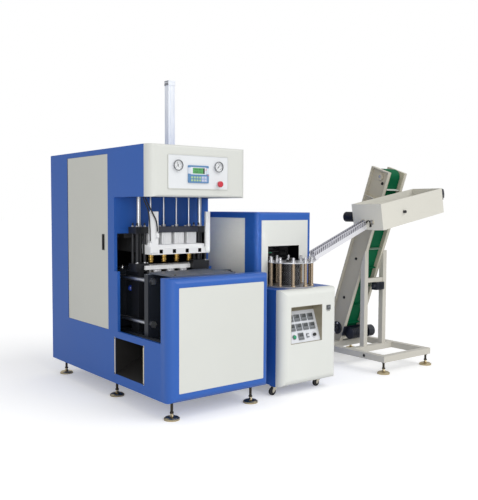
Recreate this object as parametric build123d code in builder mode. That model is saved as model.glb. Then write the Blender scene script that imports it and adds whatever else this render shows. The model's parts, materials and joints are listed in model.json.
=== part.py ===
import os
from math import cos, radians, sin, tan

from build123d import *

os.makedirs("parts", exist_ok=True)

# A four cavity stretch blow moulding line: blow unit, infrared preheater and preform loader.
# Millimetres. The origin is the underside of the blow unit's front left levelling foot,
# with +X to the right along the fronts, +Y to the back and +Z up.

# Clearances
panel_gap = 0.5
running_gap = 0.05
moving_gap = 0.4
door_gap = 1.0

# Blow unit casing
unit_width = 700.0
unit_depth = 1545.0
unit_height = 1542.0
sheet = 3.0
foot_height = 109.0
foot_inset_x = 66.0
foot_inset_front = 84.0
foot_inset_back = 81.0
foot_disc_radius = 45.0
foot_stud_radius = 8.0
table_height = 797.0
column_setback = 620.0
housing_height = 297.0
fascia_setback = 207.0
fascia_depth = 62.0
fascia_corner_radius = 60.0
fascia_edge_radius = 14.0
cover_depth = 93.0
cover_left_radius = 60.0
cover_right_radius = 22.0
cover_edge_radius = 36.0
front_panel_left_margin = 60.0
front_panel_right_margin = 35.0
front_panel_foot = 52.0
front_panel_head = 51.0
front_panel_radius = 6.0
flange_depth = 18.0
column_opening_margin = 20.0
column_opening_sill = 60.0
column_opening_lift = 228.0

# Side window and bottle opening in the lower cabinet
window_sill_share = 323.0 / 688.0
window_back_margin = 38.0
bottle_opening_width = 334.0
bottle_opening_share = 225.0 / 688.0
bottle_opening_setback = 280.0
bottle_opening_lift_share = 58.0 / 688.0
chute_rise_share = 200.0 / 225.0
bed_rail_height = 32.0

# Doors
door_thickness = 18.0
door_seat = 14.0
door_pin_radius = 3.0
door_pin_reach = 26.0
side_door_setback = 81.0
side_door_width = 571.0
side_door_bottom = 431.0
side_door_head = 34.0
handle_width = 22.0
handle_height = 96.0
handle_depth = 14.0
handle_inset = 58.0
handle_lift_share = 488.0 / 1077.0

# Control fascia
instrument_width = 428.0
instrument_height = 196.0
instrument_left_margin = 120.0
instrument_foot = 47.0
instrument_thickness = 2.0
gauge_radius = 31.0
gauge_height = 12.0
gauge_rim = 3.0
gauge_spacing = 288.0
gauge_drop = 62.0
display_width = 145.0
display_height = 101.0
display_thickness = 7.0
stop_button_radius = 18.0
stop_button_travel = 5.0
stop_button_drop = 164.0
stop_collar_radius = 20.0
stop_collar_height = 8.0

# Heights in the head room between table and housing, as shares of that room
stand_flange_top_share = 269.0 / 448.0
stand_flange_share = 40.0 / 448.0
stand_base_share = 50.0 / 448.0
head_beam_share = 36.0 / 448.0
barrel_share = 70.0 / 448.0
upper_plate_share = 22.0 / 448.0
nozzle_plate_share = 36.0 / 448.0
port_share = 24.0 / 448.0
bracket_share = 222.0 / 448.0
tray_lift_share = 12.0 / 448.0
tray_share = 24.0 / 448.0
stop_block_share = 70.0 / 448.0

# Blow axes, guide columns and their stands
cavity_count = 4
cavity_pitch = 94.0
axis_setback = 542.0
guide_column_radius = 12.5
guide_spread = 450.0
stand_flange_size = 90.0
stand_pillar_radius = 10.0
stand_pillar_spacing = 52.0
stand_base_sink = 2.0
post_width = 36.0
post_depth = 90.0
head_beam_depth = 95.0
head_boss_height = 14.0
crossplate_height = 20.0
crosshead_height = 30.0
crosshead_depth = 60.0
crosshead_end = 45.0
bush_radius = 20.0
bush_height = 46.0
stretch_rod_radius = 5.0
stretch_stroke = 230.0

# Stretch cylinder
cylinder_size = 48.0
cylinder_bore_radius = 20.0
cylinder_height = 424.0
cylinder_cap_height = 30.0
cylinder_foot_height = 22.0
cylinder_slot_width = 5.0
cylinder_slot_depth = 3.5
piston_rod_radius = 8.0
piston_height = 30.0

# Sealing head
seal_stroke = 12.0
barrel_size = 72.0
barrel_bore_radius = 28.0
riser_radius = 10.0
nozzle_plate_length = 425.0
nozzle_plate_depth = 190.0
nozzle_plate_overhang = 132.0
nozzle_radius = 18.0
bracket_width = 55.0
bracket_thickness = 8.0
bracket_return = 40.0

# Preform tray, moulds and clamp
tray_ear_depth = 16.0
tray_ear_left = 224.0
tray_ear_right = 99.0
tray_body_length = 350.0
tray_body_depth = 108.0
tray_foot_reach = 10.0
stop_block_width = 90.0
stop_block_depth = 45.0
preform_neck_radius = 14.0
neck_ring_radius = 26.0
neck_ring_gap = 2.0
mould_height_share = 320.0 / 688.0
mould_length = 412.0
mould_half_depth = 194.0
bottle_radius = 34.0
bottle_height_share = 235.0 / 320.0
bottle_shoulder_share = 40.0 / 320.0
platen_thickness = 42.0
platen_width = 556.0
tie_bar_radius = 13.0
tie_bar_spread = 540.0
tie_bar_drop = 40.0
tie_bar_rise_share = 252.0 / 688.0
clamp_stroke = 110.0
clamp_barrel_radius = 70.0
clamp_barrel_wall = 8.0
clamp_rod_radius = 24.0
table_plate_thickness = 10.0
table_plate_left = 82.0
table_plate_right = 506.0

# Air hoses
hose_radius = 4.0
hose_entry_inset = 70.0
fitting_height = 24.0

# Preheater
heater_setback_x = 839.0
heater_width = 478.0
heater_depth = 1224.0
heater_cover_setback = 26.0
heater_cover_depth = 60.0
heater_cover_left_radius = 50.0
heater_cover_right_radius = 30.0
heater_cover_edge_radius = 40.0
heater_bottom = 64.0
heater_table = 672.0
oven_setback = 277.0
oven_top = 1155.0
oven_left_radius = 36.0
oven_right_radius = 16.0
oven_panel_margin = 39.0
oven_panel_head = 51.0
oven_mouth_width = 276.0
oven_mouth_height = 263.0
oven_mouth_margin = 93.0
oven_door_setback = 124.0
oven_door_width = 640.0
oven_door_bottom = 720.0
oven_door_height = 398.0
recess_width = 268.0
module_drop = 25.0
recess_height = 230.0
recess_margin = 76.0
recess_lift = 268.0
recess_depth = 96.0
module_size = 46.0
module_pitch = 58.0
module_row_pitch = 60.0
module_depth = 5.0
start_button_radius = 11.0
start_button_travel = 3.0
speed_knob_radius = 10.0
speed_knob_height = 14.0
lamp_count = 6
lamp_radius = 6.0
lamp_pitch = 36.0
lamp_length = 250.0
lamp_setback = 110.0

# Carousel
carousel_x = 1070.0
carousel_y = 205.0
spindle_count = 10
spindle_start = 18.0
spindle_radius = 11.0
spindle_circle = 138.0
spindle_height = 158.0
carousel_disc_thickness = 4.0
carousel_base_thickness = 8.0
drum_radius = 62.0
chain_tooth_count = 16
shaft_radius = 15.0
head_radius = 16.0
head_height = 34.0

# Castors
castor_wheel_radius = 25.0
castor_wheel_width = 18.0
castor_trail = 22.0
castor_inset_left = 30.0
castor_inset_right = 62.0
castor_inset_front = 100.0
castor_inset_back = 90.0
castor_axle_radius = 4.0
castor_cheek = 3.0
castor_pin_radius = 5.0

# Preform loader
loader_setback_x = 1834.0
loader_width = 536.0
loader_depth = 810.0
loader_setback_y = 46.0
tube = 45.0
loader_foot_height = 85.0
loader_foot_inset = 25.0
post_size = 40.0
post_setback_y = 383.0
left_post_inset = 164.0
right_post_inset = 376.0
crossbar_bottom = 618.0
crossbar_height = 32.0
junction_box_height = 62.0
junction_box_depth = 60.0
junction_box_width = 90.0
elevator_lean = 19.4
elevator_left_x = 2007.0
elevator_width = 213.0
elevator_depth = 171.0
elevator_length = 1395.0
channel_flange = 28.0
channel_sheet = 3.0
elevator_foot_y = 641.0
belt_gap = 6.0
pulley_radius = 55.0
pulley_shaft_radius = 10.0
belt_thickness = 4.0
cleat_height = 26.0
cleat_thickness = 5.0
cleat_count = 8
motor_radius = 46.0
motor_length = 165.0
motor_cap_length = 44.0
motor_fin_count = 9
motor_start = 30.0
motor_along = 92.0
motor_reach = 46.0
motor_plate_height = 80.0
motor_plate_thickness = 8.0
motor_shaft_reach = 50.0
chain_case_radius = 48.0
chain_case_thickness = 24.0

# Sorting trough
trough_length = 690.0
trough_depth = 265.0
trough_height = 180.0
trough_tilt = 10.2
trough_left_x = 1687.0
trough_front_y = -50.0
trough_bottom_z = 1036.0
roller_radius = 24.0
roller_gap = 30.0
roller_shaft_radius = 8.0
roller_motor_radius = 36.0
roller_motor_length = 80.0
roller_motor_ribs = 6
roller_motor_height = 86.0
roller_motor_share = 0.03
trough_outlet_y = 170.0

# Preform chute
chute_lower_x = 1226.0
chute_lower_y = 150.0
chute_lower_z = 842.0
chute_width = 46.0
chute_wall = 4.0
chute_height = 62.0
chute_rib_count = 24

# Places worked out from the driving dimensions
left = -foot_inset_x
front = -foot_inset_front
right = left + unit_width
back = front + unit_depth
centre_x = (left + right) / 2
base_z = foot_height
column_y = front + column_setback
housing_z = unit_height - housing_height
head_room = housing_z - table_height
cabinet_height = table_height - base_z
fascia_y = front + fascia_setback
housing_y = fascia_y + fascia_depth
axis_y = front + axis_setback
cavity_xs = [centre_x + cavity_pitch * (i - (cavity_count - 1) / 2) for i in range(cavity_count)]
guide_xs = [centre_x - guide_spread / 2, centre_x + guide_spread / 2]

heater_left = left + heater_setback_x
heater_right = heater_left + heater_width
heater_front = front + heater_cover_setback
heater_body_y = heater_front + heater_cover_depth
heater_back = heater_front + heater_depth
oven_y = front + oven_setback

loader_left = left + loader_setback_x
loader_front = front + loader_setback_y
loader_right = loader_left + loader_width
loader_back = loader_front + loader_depth
loader_floor = loader_foot_height


def middle(span):
    return (span[0] + span[1]) / 2


def length(span):
    return span[1] - span[0]


def slab(x, y, z, mode=Mode.ADD):
    """Adds a rectangular bar or plate that fills three spans."""
    with Locations((middle(x), middle(y), middle(z))):
        Box(length(x), length(y), length(z), mode=mode)


def round_bar(plane, radius, height, mode=Mode.ADD):
    """Adds a round bar that starts on a plane and runs along its normal."""
    with BuildSketch(plane) as section:
        Circle(radius)
    extrude(section.sketch, amount=height, mode=mode)


def level(x, y, z):
    """A horizontal plane with its origin at a point."""
    return Plane((x, y, z))


def facing_front(x, y, z):
    """A vertical plane at a point whose normal points to the front."""
    return Plane((x, y, z), x_dir=(1, 0, 0), z_dir=(0, -1, 0))


def facing_right(x, y, z):
    """A vertical plane at a point whose normal points to the right."""
    return Plane((x, y, z), x_dir=(0, 1, 0), z_dir=(1, 0, 0))


def front_block(x, y, z, left_radius, right_radius, edge_radius):
    """A block whose front has rounded upright corners and rounded top and bottom edges."""
    with BuildPart() as block:
        with BuildSketch(Plane.XY.offset(z[0])):
            with Locations((middle(x), middle(y))):
                Rectangle(length(x), length(y))
        extrude(amount=length(z))
        uprights = block.edges().filter_by(Axis.Z).group_by(Axis.Y)[0].sort_by(Axis.X)
        if left_radius:
            fillet(uprights[0], left_radius)
        if right_radius:
            right_edge = block.edges().filter_by(Axis.Z).group_by(Axis.Y)[0].sort_by(Axis.X)[-1]
            fillet(right_edge, right_radius)
        if edge_radius:
            with BuildSketch(Plane.YZ.offset(x[0])):
                with Locations((middle(y) + edge_radius, middle(z))):
                    RectangleRounded(length(y) + 2 * edge_radius, length(z), edge_radius)
            extrude(amount=length(x), mode=Mode.INTERSECT)
    return block.part


def front_shell(x, y, z, left_radius, right_radius, edge_radius, wall):
    """The sheet cover over such a block, open at the back."""
    inner_x = (x[0] + wall, x[1] - wall)
    inner_y = (y[0] + wall, y[1] + wall)
    inner_z = (z[0] + wall, z[1] - wall)
    with BuildPart() as shell:
        add(front_block(x, y, z, left_radius, right_radius, edge_radius))
        add(
            front_block(
                inner_x,
                inner_y,
                inner_z,
                max(left_radius - wall, 0),
                max(right_radius - wall, 0),
                max(edge_radius - wall, 0),
            ),
            mode=Mode.SUBTRACT,
        )
    return shell.part


def levelling_foot(x, y, height, seat):
    """A domed disc, its stud and two hexagon nuts, screwed up through a plate of a given thickness."""
    dome = 6.0
    rim = foot_disc_radius
    neck = foot_stud_radius
    with BuildPart() as foot:
        with BuildSketch(Plane.XZ):
            with BuildLine():
                outline = [(0, 0), (rim, 0), (rim, 10), (rim - 8, 10 + dome), (neck + 6, 16 + dome)]
                Polyline(*outline, (neck, 24 + dome), (neck, height + seat), (0, height + seat), (0, 0))
            make_face()
        revolve(axis=Axis.Z)
        with BuildSketch(Plane.XY.offset(30 + dome)):
            RegularPolygon(neck * 1.6, 6)
        extrude(amount=neck)
        with BuildSketch(Plane.XY.offset(height - neck)):
            RegularPolygon(neck * 1.6, 6)
        extrude(amount=neck)
    return foot.part.moved(Location((x, y, 0)))


def hinged_door(x, y, z):
    """A folded door pan on the left side, with its pin bores at the back edge."""
    with BuildPart() as door:
        with BuildSketch(Plane.XY.offset(z[0])):
            with Locations((middle(x), middle(y))):
                Rectangle(length(x), length(y))
        extrude(amount=length(z))
        swing_edge = door.edges().filter_by(Axis.Z).group_by(Axis.X)[0].sort_by(Axis.Y)[-1]
        fillet(swing_edge, length(x) / 2 - 1)
        hollow_y = (y[0] + sheet, y[1] - length(x) - 4)
        slab((x[0] + sheet, x[1]), hollow_y, (z[0] + sheet, z[1] - sheet), Mode.SUBTRACT)
        pin_x = middle(x) - 1
        pin_y = y[1] - (pin_x - x[0])
        bore = door_pin_radius + running_gap
        round_bar(level(pin_x, pin_y, z[0]), bore, door_pin_reach, Mode.SUBTRACT)
        round_bar(level(pin_x, pin_y, z[1] - door_pin_reach), bore, door_pin_reach, Mode.SUBTRACT)
    return door.part


def door_pins(x, y, z):
    """The two upright hinge pins of such a door, welded into the frame above and below it."""
    pin_x = middle(x) - 1
    pin_y = y[1] - (pin_x - x[0])
    reach = door_pin_reach - 1 + door_gap + sheet
    with BuildPart() as pins:
        round_bar(level(pin_x, pin_y, z[0] - door_gap - sheet), door_pin_radius, reach)
        round_bar(level(pin_x, pin_y, z[1] + door_gap + sheet - reach), door_pin_radius, reach)
    return pins.part


def door_frame(wall_x, y, z):
    """Cuts a door's opening in a left hand wall and adds the folded frame that the door closes on."""
    frame_y = (y[0] - door_gap, y[1] + door_gap)
    frame_z = (z[0] - door_gap, z[1] + door_gap)
    depth = door_thickness + 5
    outer_y = (frame_y[0] - sheet, frame_y[1] + sheet)
    outer_z = (frame_z[0] - sheet, frame_z[1] + sheet)
    slab((wall_x, wall_x + depth + sheet), outer_y, outer_z)
    slab((wall_x - 1, wall_x + depth), frame_y, frame_z, Mode.SUBTRACT)
    seat_y = (frame_y[0] + door_seat, frame_y[1] - door_seat)
    seat_z = (frame_z[0] + door_seat, frame_z[1] - door_seat)
    slab((wall_x - 1, wall_x + depth + sheet + 1), seat_y, seat_z, Mode.SUBTRACT)
    add(door_pins((wall_x, wall_x + door_thickness), y, z))


def finish(piece, name):
    """Names a finished piece and writes its file."""
    piece.label = name
    export_step(piece, f"parts/{name}.step")


# Rear cabinet, a welded sheet box with a door frame in its left side
side_door_y = (column_y + side_door_setback, column_y + side_door_setback + side_door_width)
side_door_z = (side_door_bottom, unit_height - side_door_head)
column_mouth_x = (left + column_opening_margin, right - column_opening_margin)
column_mouth_z = (base_z + column_opening_sill, table_height + column_opening_lift)
with BuildPart() as rear_cabinet:
    slab((left, right), (column_y, back), (base_z, unit_height))
    slab(
        (left + sheet, right - sheet),
        (column_y + sheet, back - sheet),
        (base_z + sheet, unit_height - sheet),
        Mode.SUBTRACT,
    )
    slab(column_mouth_x, (column_y - 1, column_y + sheet + 1), column_mouth_z, Mode.SUBTRACT)
    door_frame(left, side_door_y, side_door_z)
finish(rear_cabinet.part, "rear_cabinet")

with BuildPart() as side_door:
    add(hinged_door((left, left + door_thickness), side_door_y, side_door_z))
    handle_y = side_door_y[0] + handle_inset
    handle_z = side_door_z[0] + handle_lift_share * length(side_door_z)
    slab(
        (left - 1, left + sheet + 1),
        (handle_y - handle_width / 2, handle_y + handle_width / 2),
        (handle_z, handle_z + handle_height),
        Mode.SUBTRACT,
    )
    # Flush pull handle, a dished cup set in the door's slot with a face flange
    slab(
        (left, left + handle_depth),
        (handle_y - handle_width / 2, handle_y + handle_width / 2),
        (handle_z, handle_z + handle_height),
    )
    cup = (sheet, 2 * sheet)
    slab(
        (left - 1, left + handle_depth - cup[0]),
        (handle_y - handle_width / 2 + cup[0], handle_y + handle_width / 2 - cup[1]),
        (handle_z + cup[1], handle_z + handle_height - cup[1]),
        Mode.SUBTRACT,
    )
    slab(
        (left - cup[0], left),
        (handle_y - handle_width / 2 - cup[0], handle_y + handle_width / 2 + cup[0]),
        (handle_z - cup[0], handle_z + handle_height + cup[0]),
    )
    slab(
        (left - cup[0] - 1, left + 1),
        (handle_y - handle_width / 2 + cup[0], handle_y + handle_width / 2 - cup[1]),
        (handle_z + cup[1], handle_z + handle_height - cup[1]),
        Mode.SUBTRACT,
    )
finish(side_door.part, "side_door")

# Mounting plate inside the rear cabinet with the power contactors on two rails
plate_x = left + 230
plate_y = (side_door_y[0] + 20, side_door_y[1] - 20)
plate_z = (table_height + 100, side_door_z[1] - 20)
plate_fold = plate_x + 30
with BuildPart() as electrical_panel:
    slab((plate_x, plate_x + sheet), plate_y, plate_z)
    slab((plate_x, plate_fold), (plate_y[1] - sheet, plate_y[1]), plate_z)
    slab((plate_x, plate_fold), (plate_y[0], plate_y[0] + sheet), plate_z)
    for share in (0.22, 0.5, 0.78):
        rail_z = plate_z[0] + share * length(plate_z)
        slab((plate_x - 8, plate_x), (plate_y[0] + 20, plate_y[1] - 20), (rail_z - 17, rail_z + 17))
    for share in (0.06, 0.94):
        leg_z = plate_z[0] + share * length(plate_z)
        slab((plate_x, plate_x + sheet), (plate_y[1], back - sheet), (leg_z - 20, leg_z + 20))
    for share, count, size in ((0.22, 5, 74.0), (0.5, 8, 46.0), (0.78, 4, 96.0)):
        rail_z = plate_z[0] + share * length(plate_z)
        pitch = (length(plate_y) - 60) / count
        for i in range(count):
            unit_y = plate_y[0] + 30 + pitch * (i + 0.5)
            unit_span = (unit_y - size / 2 * 0.8, unit_y + size / 2 * 0.8)
            slab((plate_x - 8 - size, plate_x - 8), unit_span, (rail_z - size / 2, rail_z + size / 2))
finish(electrical_panel.part, "electrical_panel")

# Lower cabinet: floor pan and two side walls, each with a window and a bottle opening
cover_back = front + cover_depth
wall_y = (cover_back, column_y)
window_y = (cover_back, column_y - window_back_margin)
window_sill = base_z + window_sill_share * cabinet_height
bottle_opening_height = bottle_opening_share * cabinet_height
chute_rise = chute_rise_share * bottle_opening_height
bottle_y = (front + bottle_opening_setback, front + bottle_opening_setback + bottle_opening_width)
bottle_sill = base_z + bottle_opening_lift_share * cabinet_height
bottle_z = (bottle_sill, bottle_sill + bottle_opening_height)
with BuildPart() as lower_cabinet:
    slab((left, right), wall_y, (base_z, base_z + sheet))
    slab((left, left + sheet), wall_y, (base_z, table_height))
    slab((right - sheet, right), wall_y, (base_z, table_height))
    slab((left - 1, right + 1), window_y, (window_sill, table_height + 1), Mode.SUBTRACT)
    slab((left - 1, left + sheet + 1), bottle_y, bottle_z, Mode.SUBTRACT)
    for wall_x in ((left, left + flange_depth), (right - flange_depth, right)):
        slab(wall_x, (window_y[0], window_y[1] + sheet), (window_sill - sheet, window_sill))
        slab(wall_x, (window_y[1], window_y[1] + sheet), (window_sill, table_height))
finish(lower_cabinet.part, "lower_cabinet")

# Front cover with a flush panel in its face
panel_x = (left + front_panel_left_margin, right - front_panel_right_margin)
panel_z = (base_z + front_panel_foot, table_height - front_panel_head)
with BuildPart() as front_cover:
    add(
        front_shell(
            (left, right),
            (front, cover_back),
            (base_z, table_height),
            cover_left_radius,
            cover_right_radius,
            cover_edge_radius,
            sheet,
        )
    )
    with BuildSketch(Plane.XZ.offset(-front)):
        with Locations((middle(panel_x), middle(panel_z))):
            RectangleRounded(length(panel_x), length(panel_z), front_panel_radius)
    extrude(amount=-flange_depth, mode=Mode.SUBTRACT)
finish(front_cover.part, "front_cover")

with BuildPart() as front_panel:
    with BuildSketch(Plane.XZ.offset(-front)):
        with Locations((middle(panel_x), middle(panel_z))):
            RectangleRounded(
                length(panel_x) - 2 * panel_gap,
                length(panel_z) - 2 * panel_gap,
                front_panel_radius - panel_gap,
            )
    extrude(amount=-flange_depth)
    with BuildSketch(Plane.XZ.offset(-front - sheet)):
        with Locations((middle(panel_x), middle(panel_z))):
            RectangleRounded(
                length(panel_x) - 2 * panel_gap - 2 * sheet,
                length(panel_z) - 2 * panel_gap - 2 * sheet,
                front_panel_radius - panel_gap - 2,
            )
    extrude(amount=-flange_depth, mode=Mode.SUBTRACT)
finish(front_panel.part, "front_panel")

bed_top = window_sill - 2

# Folded sheet chute that brings finished bottles down to the side opening
chute_run_x = (left + sheet, centre_x + 60)
chute_y = (bottle_y[0] - sheet, bottle_y[1] + sheet - 2)
chute_low = bottle_z[0] - sheet
with BuildPart() as bottle_chute:
    with BuildSketch(Plane.XZ.offset(-chute_y[0])):
        with BuildLine():
            Polyline(
                (chute_run_x[0], chute_low),
                (chute_run_x[1], chute_low + chute_rise),
                (chute_run_x[1], bottle_z[1]),
                (chute_run_x[0], bottle_z[1]),
                (chute_run_x[0], chute_low),
            )
        make_face()
    extrude(amount=-length(chute_y))
    with BuildSketch(Plane.XZ.offset(-chute_y[0] - sheet)):
        with BuildLine():
            Polyline(
                (chute_run_x[0] - 1, chute_low + sheet),
                (chute_run_x[1] + 1, chute_low + chute_rise + sheet),
                (chute_run_x[1] + 1, bottle_z[1] + 1),
                (chute_run_x[0] - 1, bottle_z[1] + 1),
                (chute_run_x[0] - 1, chute_low + sheet),
            )
        make_face()
    extrude(amount=-length(chute_y) + 2 * sheet, mode=Mode.SUBTRACT)
    prop_x = (middle(chute_run_x) - 3, middle(chute_run_x) + 3)
    slab(prop_x, chute_y, (base_z + sheet, chute_low + chute_rise / 2 + 2))
finish(bottle_chute.part, "bottle_chute")

# Welded bed that carries the platens and the column posts: two rails, cross members and legs
tie_bar_x = centre_x - tie_bar_spread / 2
bed_rail_x = [(tie_bar_x - 12, tie_bar_x + 56)]
bed_rail_x.append((2 * centre_x - bed_rail_x[0][1], 2 * centre_x - bed_rail_x[0][0]))
bed_z = (bed_top - bed_rail_height, bed_top)
rear_platen_back = axis_y + mould_half_depth + 2 * platen_thickness + clamp_stroke + 24
bed_y = (cover_back + 90, rear_platen_back + 10)
with BuildPart() as machine_bed:
    for rail_x in bed_rail_x:
        slab(rail_x, bed_y, bed_z)
        for leg_front in (bed_y[0] + 10, column_y + 24, bed_y[1] - 60):
            leg_x = (middle(rail_x) - 25, middle(rail_x) + 25)
            slab(leg_x, (leg_front, leg_front + 50), (base_z + sheet, bed_z[0]))
    cross_x = (bed_rail_x[0][1], bed_rail_x[1][0])
    slab(cross_x, (bed_y[0] + 10, bed_y[0] + 60), bed_z)
    slab(cross_x, (bed_y[1] - 60, bed_y[1] - 10), bed_z)
finish(machine_bed.part, "machine_bed")

# Upper housing that overhangs the tooling, open below
with BuildPart() as upper_housing:
    slab((left, right), (housing_y, column_y), (housing_z, unit_height))
    inner_x = (left + sheet, right - sheet)
    slab(inner_x, (housing_y - 1, column_y + 1), (housing_z + sheet, unit_height - sheet), Mode.SUBTRACT)
    rim = 40.0
    mouth_y = (housing_y + rim, column_y - rim)
    slab((left + rim, right - rim), mouth_y, (housing_z - 1, housing_z + sheet + 1), Mode.SUBTRACT)
    strip_y = axis_y - nozzle_plate_overhang - bracket_thickness
    slab((left + rim, right - rim), (strip_y - 26, strip_y + 10), (housing_z, housing_z + sheet))
    round_bar(level(centre_x, axis_y, unit_height - sheet), piston_rod_radius + 4, sheet, Mode.SUBTRACT)
finish(upper_housing.part, "upper_housing")

# Control fascia with its cut-outs
instrument_x = (left + instrument_left_margin, left + instrument_left_margin + instrument_width)
instrument_z = (housing_z + instrument_foot, housing_z + instrument_foot + instrument_height)
instrument_y = fascia_y - instrument_thickness
gauge_z = instrument_z[1] - gauge_drop
gauge_xs = [instrument_x[0] + 65, instrument_x[0] + 65 + gauge_spacing]
display_x = instrument_x[0] + 208
display_z = instrument_z[1] - 110
stop_x = gauge_xs[1] + 5
stop_z = instrument_z[1] - stop_button_drop
shank = 0.78


def instrument_cutouts(depth):
    """Cuts the holes for the gauges, the display and the stop button through a front sheet."""
    for x in gauge_xs:
        round_bar(facing_front(x, depth, gauge_z), gauge_radius * shank + 1, 12, Mode.SUBTRACT)
    round_bar(facing_front(stop_x, depth, stop_z), stop_collar_radius * shank + 1, 12, Mode.SUBTRACT)
    with BuildSketch(facing_front(display_x, depth, display_z)) as window:
        Rectangle(display_width - 14, display_height - 14)
    extrude(window.sketch, amount=12, mode=Mode.SUBTRACT)


with BuildPart() as control_fascia:
    add(
        front_shell(
            (left, right),
            (fascia_y, housing_y),
            (housing_z, unit_height),
            fascia_corner_radius,
            fascia_corner_radius,
            fascia_edge_radius,
            sheet,
        )
    )
    instrument_cutouts(fascia_y + sheet + 1)
finish(control_fascia.part, "control_fascia")

with BuildPart() as instrument_panel:
    with BuildSketch(Plane.XZ.offset(-fascia_y)):
        with Locations((middle(instrument_x), middle(instrument_z))):
            RectangleRounded(instrument_width, instrument_height, 8)
    extrude(amount=instrument_thickness)
    instrument_cutouts(fascia_y + 1)
    stop_face = instrument_y - stop_collar_height
    stem = stop_button_radius * 0.45
    round_bar(facing_front(stop_x, instrument_y, stop_z), stop_collar_radius, stop_collar_height)
    round_bar(facing_front(stop_x, instrument_y + 24, stop_z), stop_collar_radius * shank, 24)
    round_bar(facing_front(stop_x, stop_face + 26, stop_z), stem + running_gap, 28, Mode.SUBTRACT)
finish(instrument_panel.part, "instrument_panel")

# Pressure gauges: case, rim, dial and needle
dial_depth = 7.0
with BuildPart() as pressure_gauges:
    for x in gauge_xs:
        round_bar(facing_front(x, instrument_y, gauge_z), gauge_radius, gauge_height)
        round_bar(facing_front(x, instrument_y + 30, gauge_z), gauge_radius * shank, 30)
        well = facing_front(x, instrument_y - gauge_height + dial_depth, gauge_z)
        round_bar(well, gauge_radius - gauge_rim, dial_depth, Mode.SUBTRACT)
        needle_y = instrument_y - gauge_height + dial_depth
        with BuildSketch(facing_front(x, needle_y, gauge_z)) as pointer:
            Circle(4)
            with BuildLine():
                Polyline((-1.6, -9), (1.6, -9), (0.6, 23), (-0.6, 23), (-1.6, -9))
            make_face()
        extrude(pointer.sketch.rotate(Axis((x, needle_y, gauge_z), (0, -1, 0)), 130), amount=1.5)
finish(pressure_gauges.part, "pressure_gauges")

# Operator display with a screen and two rows of raised keys
display_y = instrument_y - display_thickness
screen_z = display_z + 20
with BuildPart() as operator_display:
    with BuildSketch(facing_front(display_x, instrument_y, display_z)) as bezel:
        RectangleRounded(display_width, display_height, 5)
    extrude(bezel.sketch, amount=display_thickness)
    with BuildSketch(facing_front(display_x, instrument_y + 26, display_z)) as case:
        Rectangle(display_width - 16, display_height - 16)
    extrude(case.sketch, amount=26)
    with BuildSketch(facing_front(display_x, display_y + 3, screen_z)) as screen_well:
        Rectangle(display_width - 30, 44)
    extrude(screen_well.sketch, amount=3, mode=Mode.SUBTRACT)
    with BuildSketch(facing_front(display_x, display_y, display_z - 27)) as keys:
        with GridLocations(19, 17, 6, 2):
            RectangleRounded(13, 11, 2)
    extrude(keys.sketch, amount=1.2)
finish(operator_display.part, "operator_display")

with BuildPart() as stop_button:
    cap_y = stop_face - stop_button_travel - moving_gap
    round_bar(facing_front(stop_x, cap_y, stop_z), stop_button_radius, 14)
    fillet(stop_button.edges().filter_by(GeomType.CIRCLE).group_by(Axis.Y)[0], 6)
    round_bar(facing_front(stop_x, cap_y + 20, stop_z), stem, 20)
finish(stop_button.part, "stop_button")

# Chrome guide columns, hung from the cross plate under the housing's top
crossplate_z = (unit_height - sheet - crossplate_height, unit_height - sheet)
seat_depth = 10.0
stand_flange_top = table_height + stand_flange_top_share * head_room
guide_z = (stand_flange_top - seat_depth, crossplate_z[0])
with BuildPart() as guide_columns:
    for x in guide_xs:
        round_bar(level(x, axis_y, guide_z[0]), guide_column_radius, length(guide_z))
    end = guide_spread / 2 + crosshead_end
    plate_span = (axis_y - 45, column_y)
    slab((centre_x - end, centre_x + end), plate_span, crossplate_z)
    bore = piston_rod_radius + 4
    round_bar(level(centre_x, axis_y, crossplate_z[0]), bore, crossplate_height, Mode.SUBTRACT)
finish(guide_columns.part, "guide_columns")

tie_bar_xs = [centre_x - tie_bar_spread / 2, centre_x + tie_bar_spread / 2]
post_x = [(tie_bar_xs[0] + tie_bar_radius + 5, tie_bar_xs[0] + tie_bar_radius + 5 + post_width)]
post_x.append((2 * centre_x - post_x[0][1], 2 * centre_x - post_x[0][0]))

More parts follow.
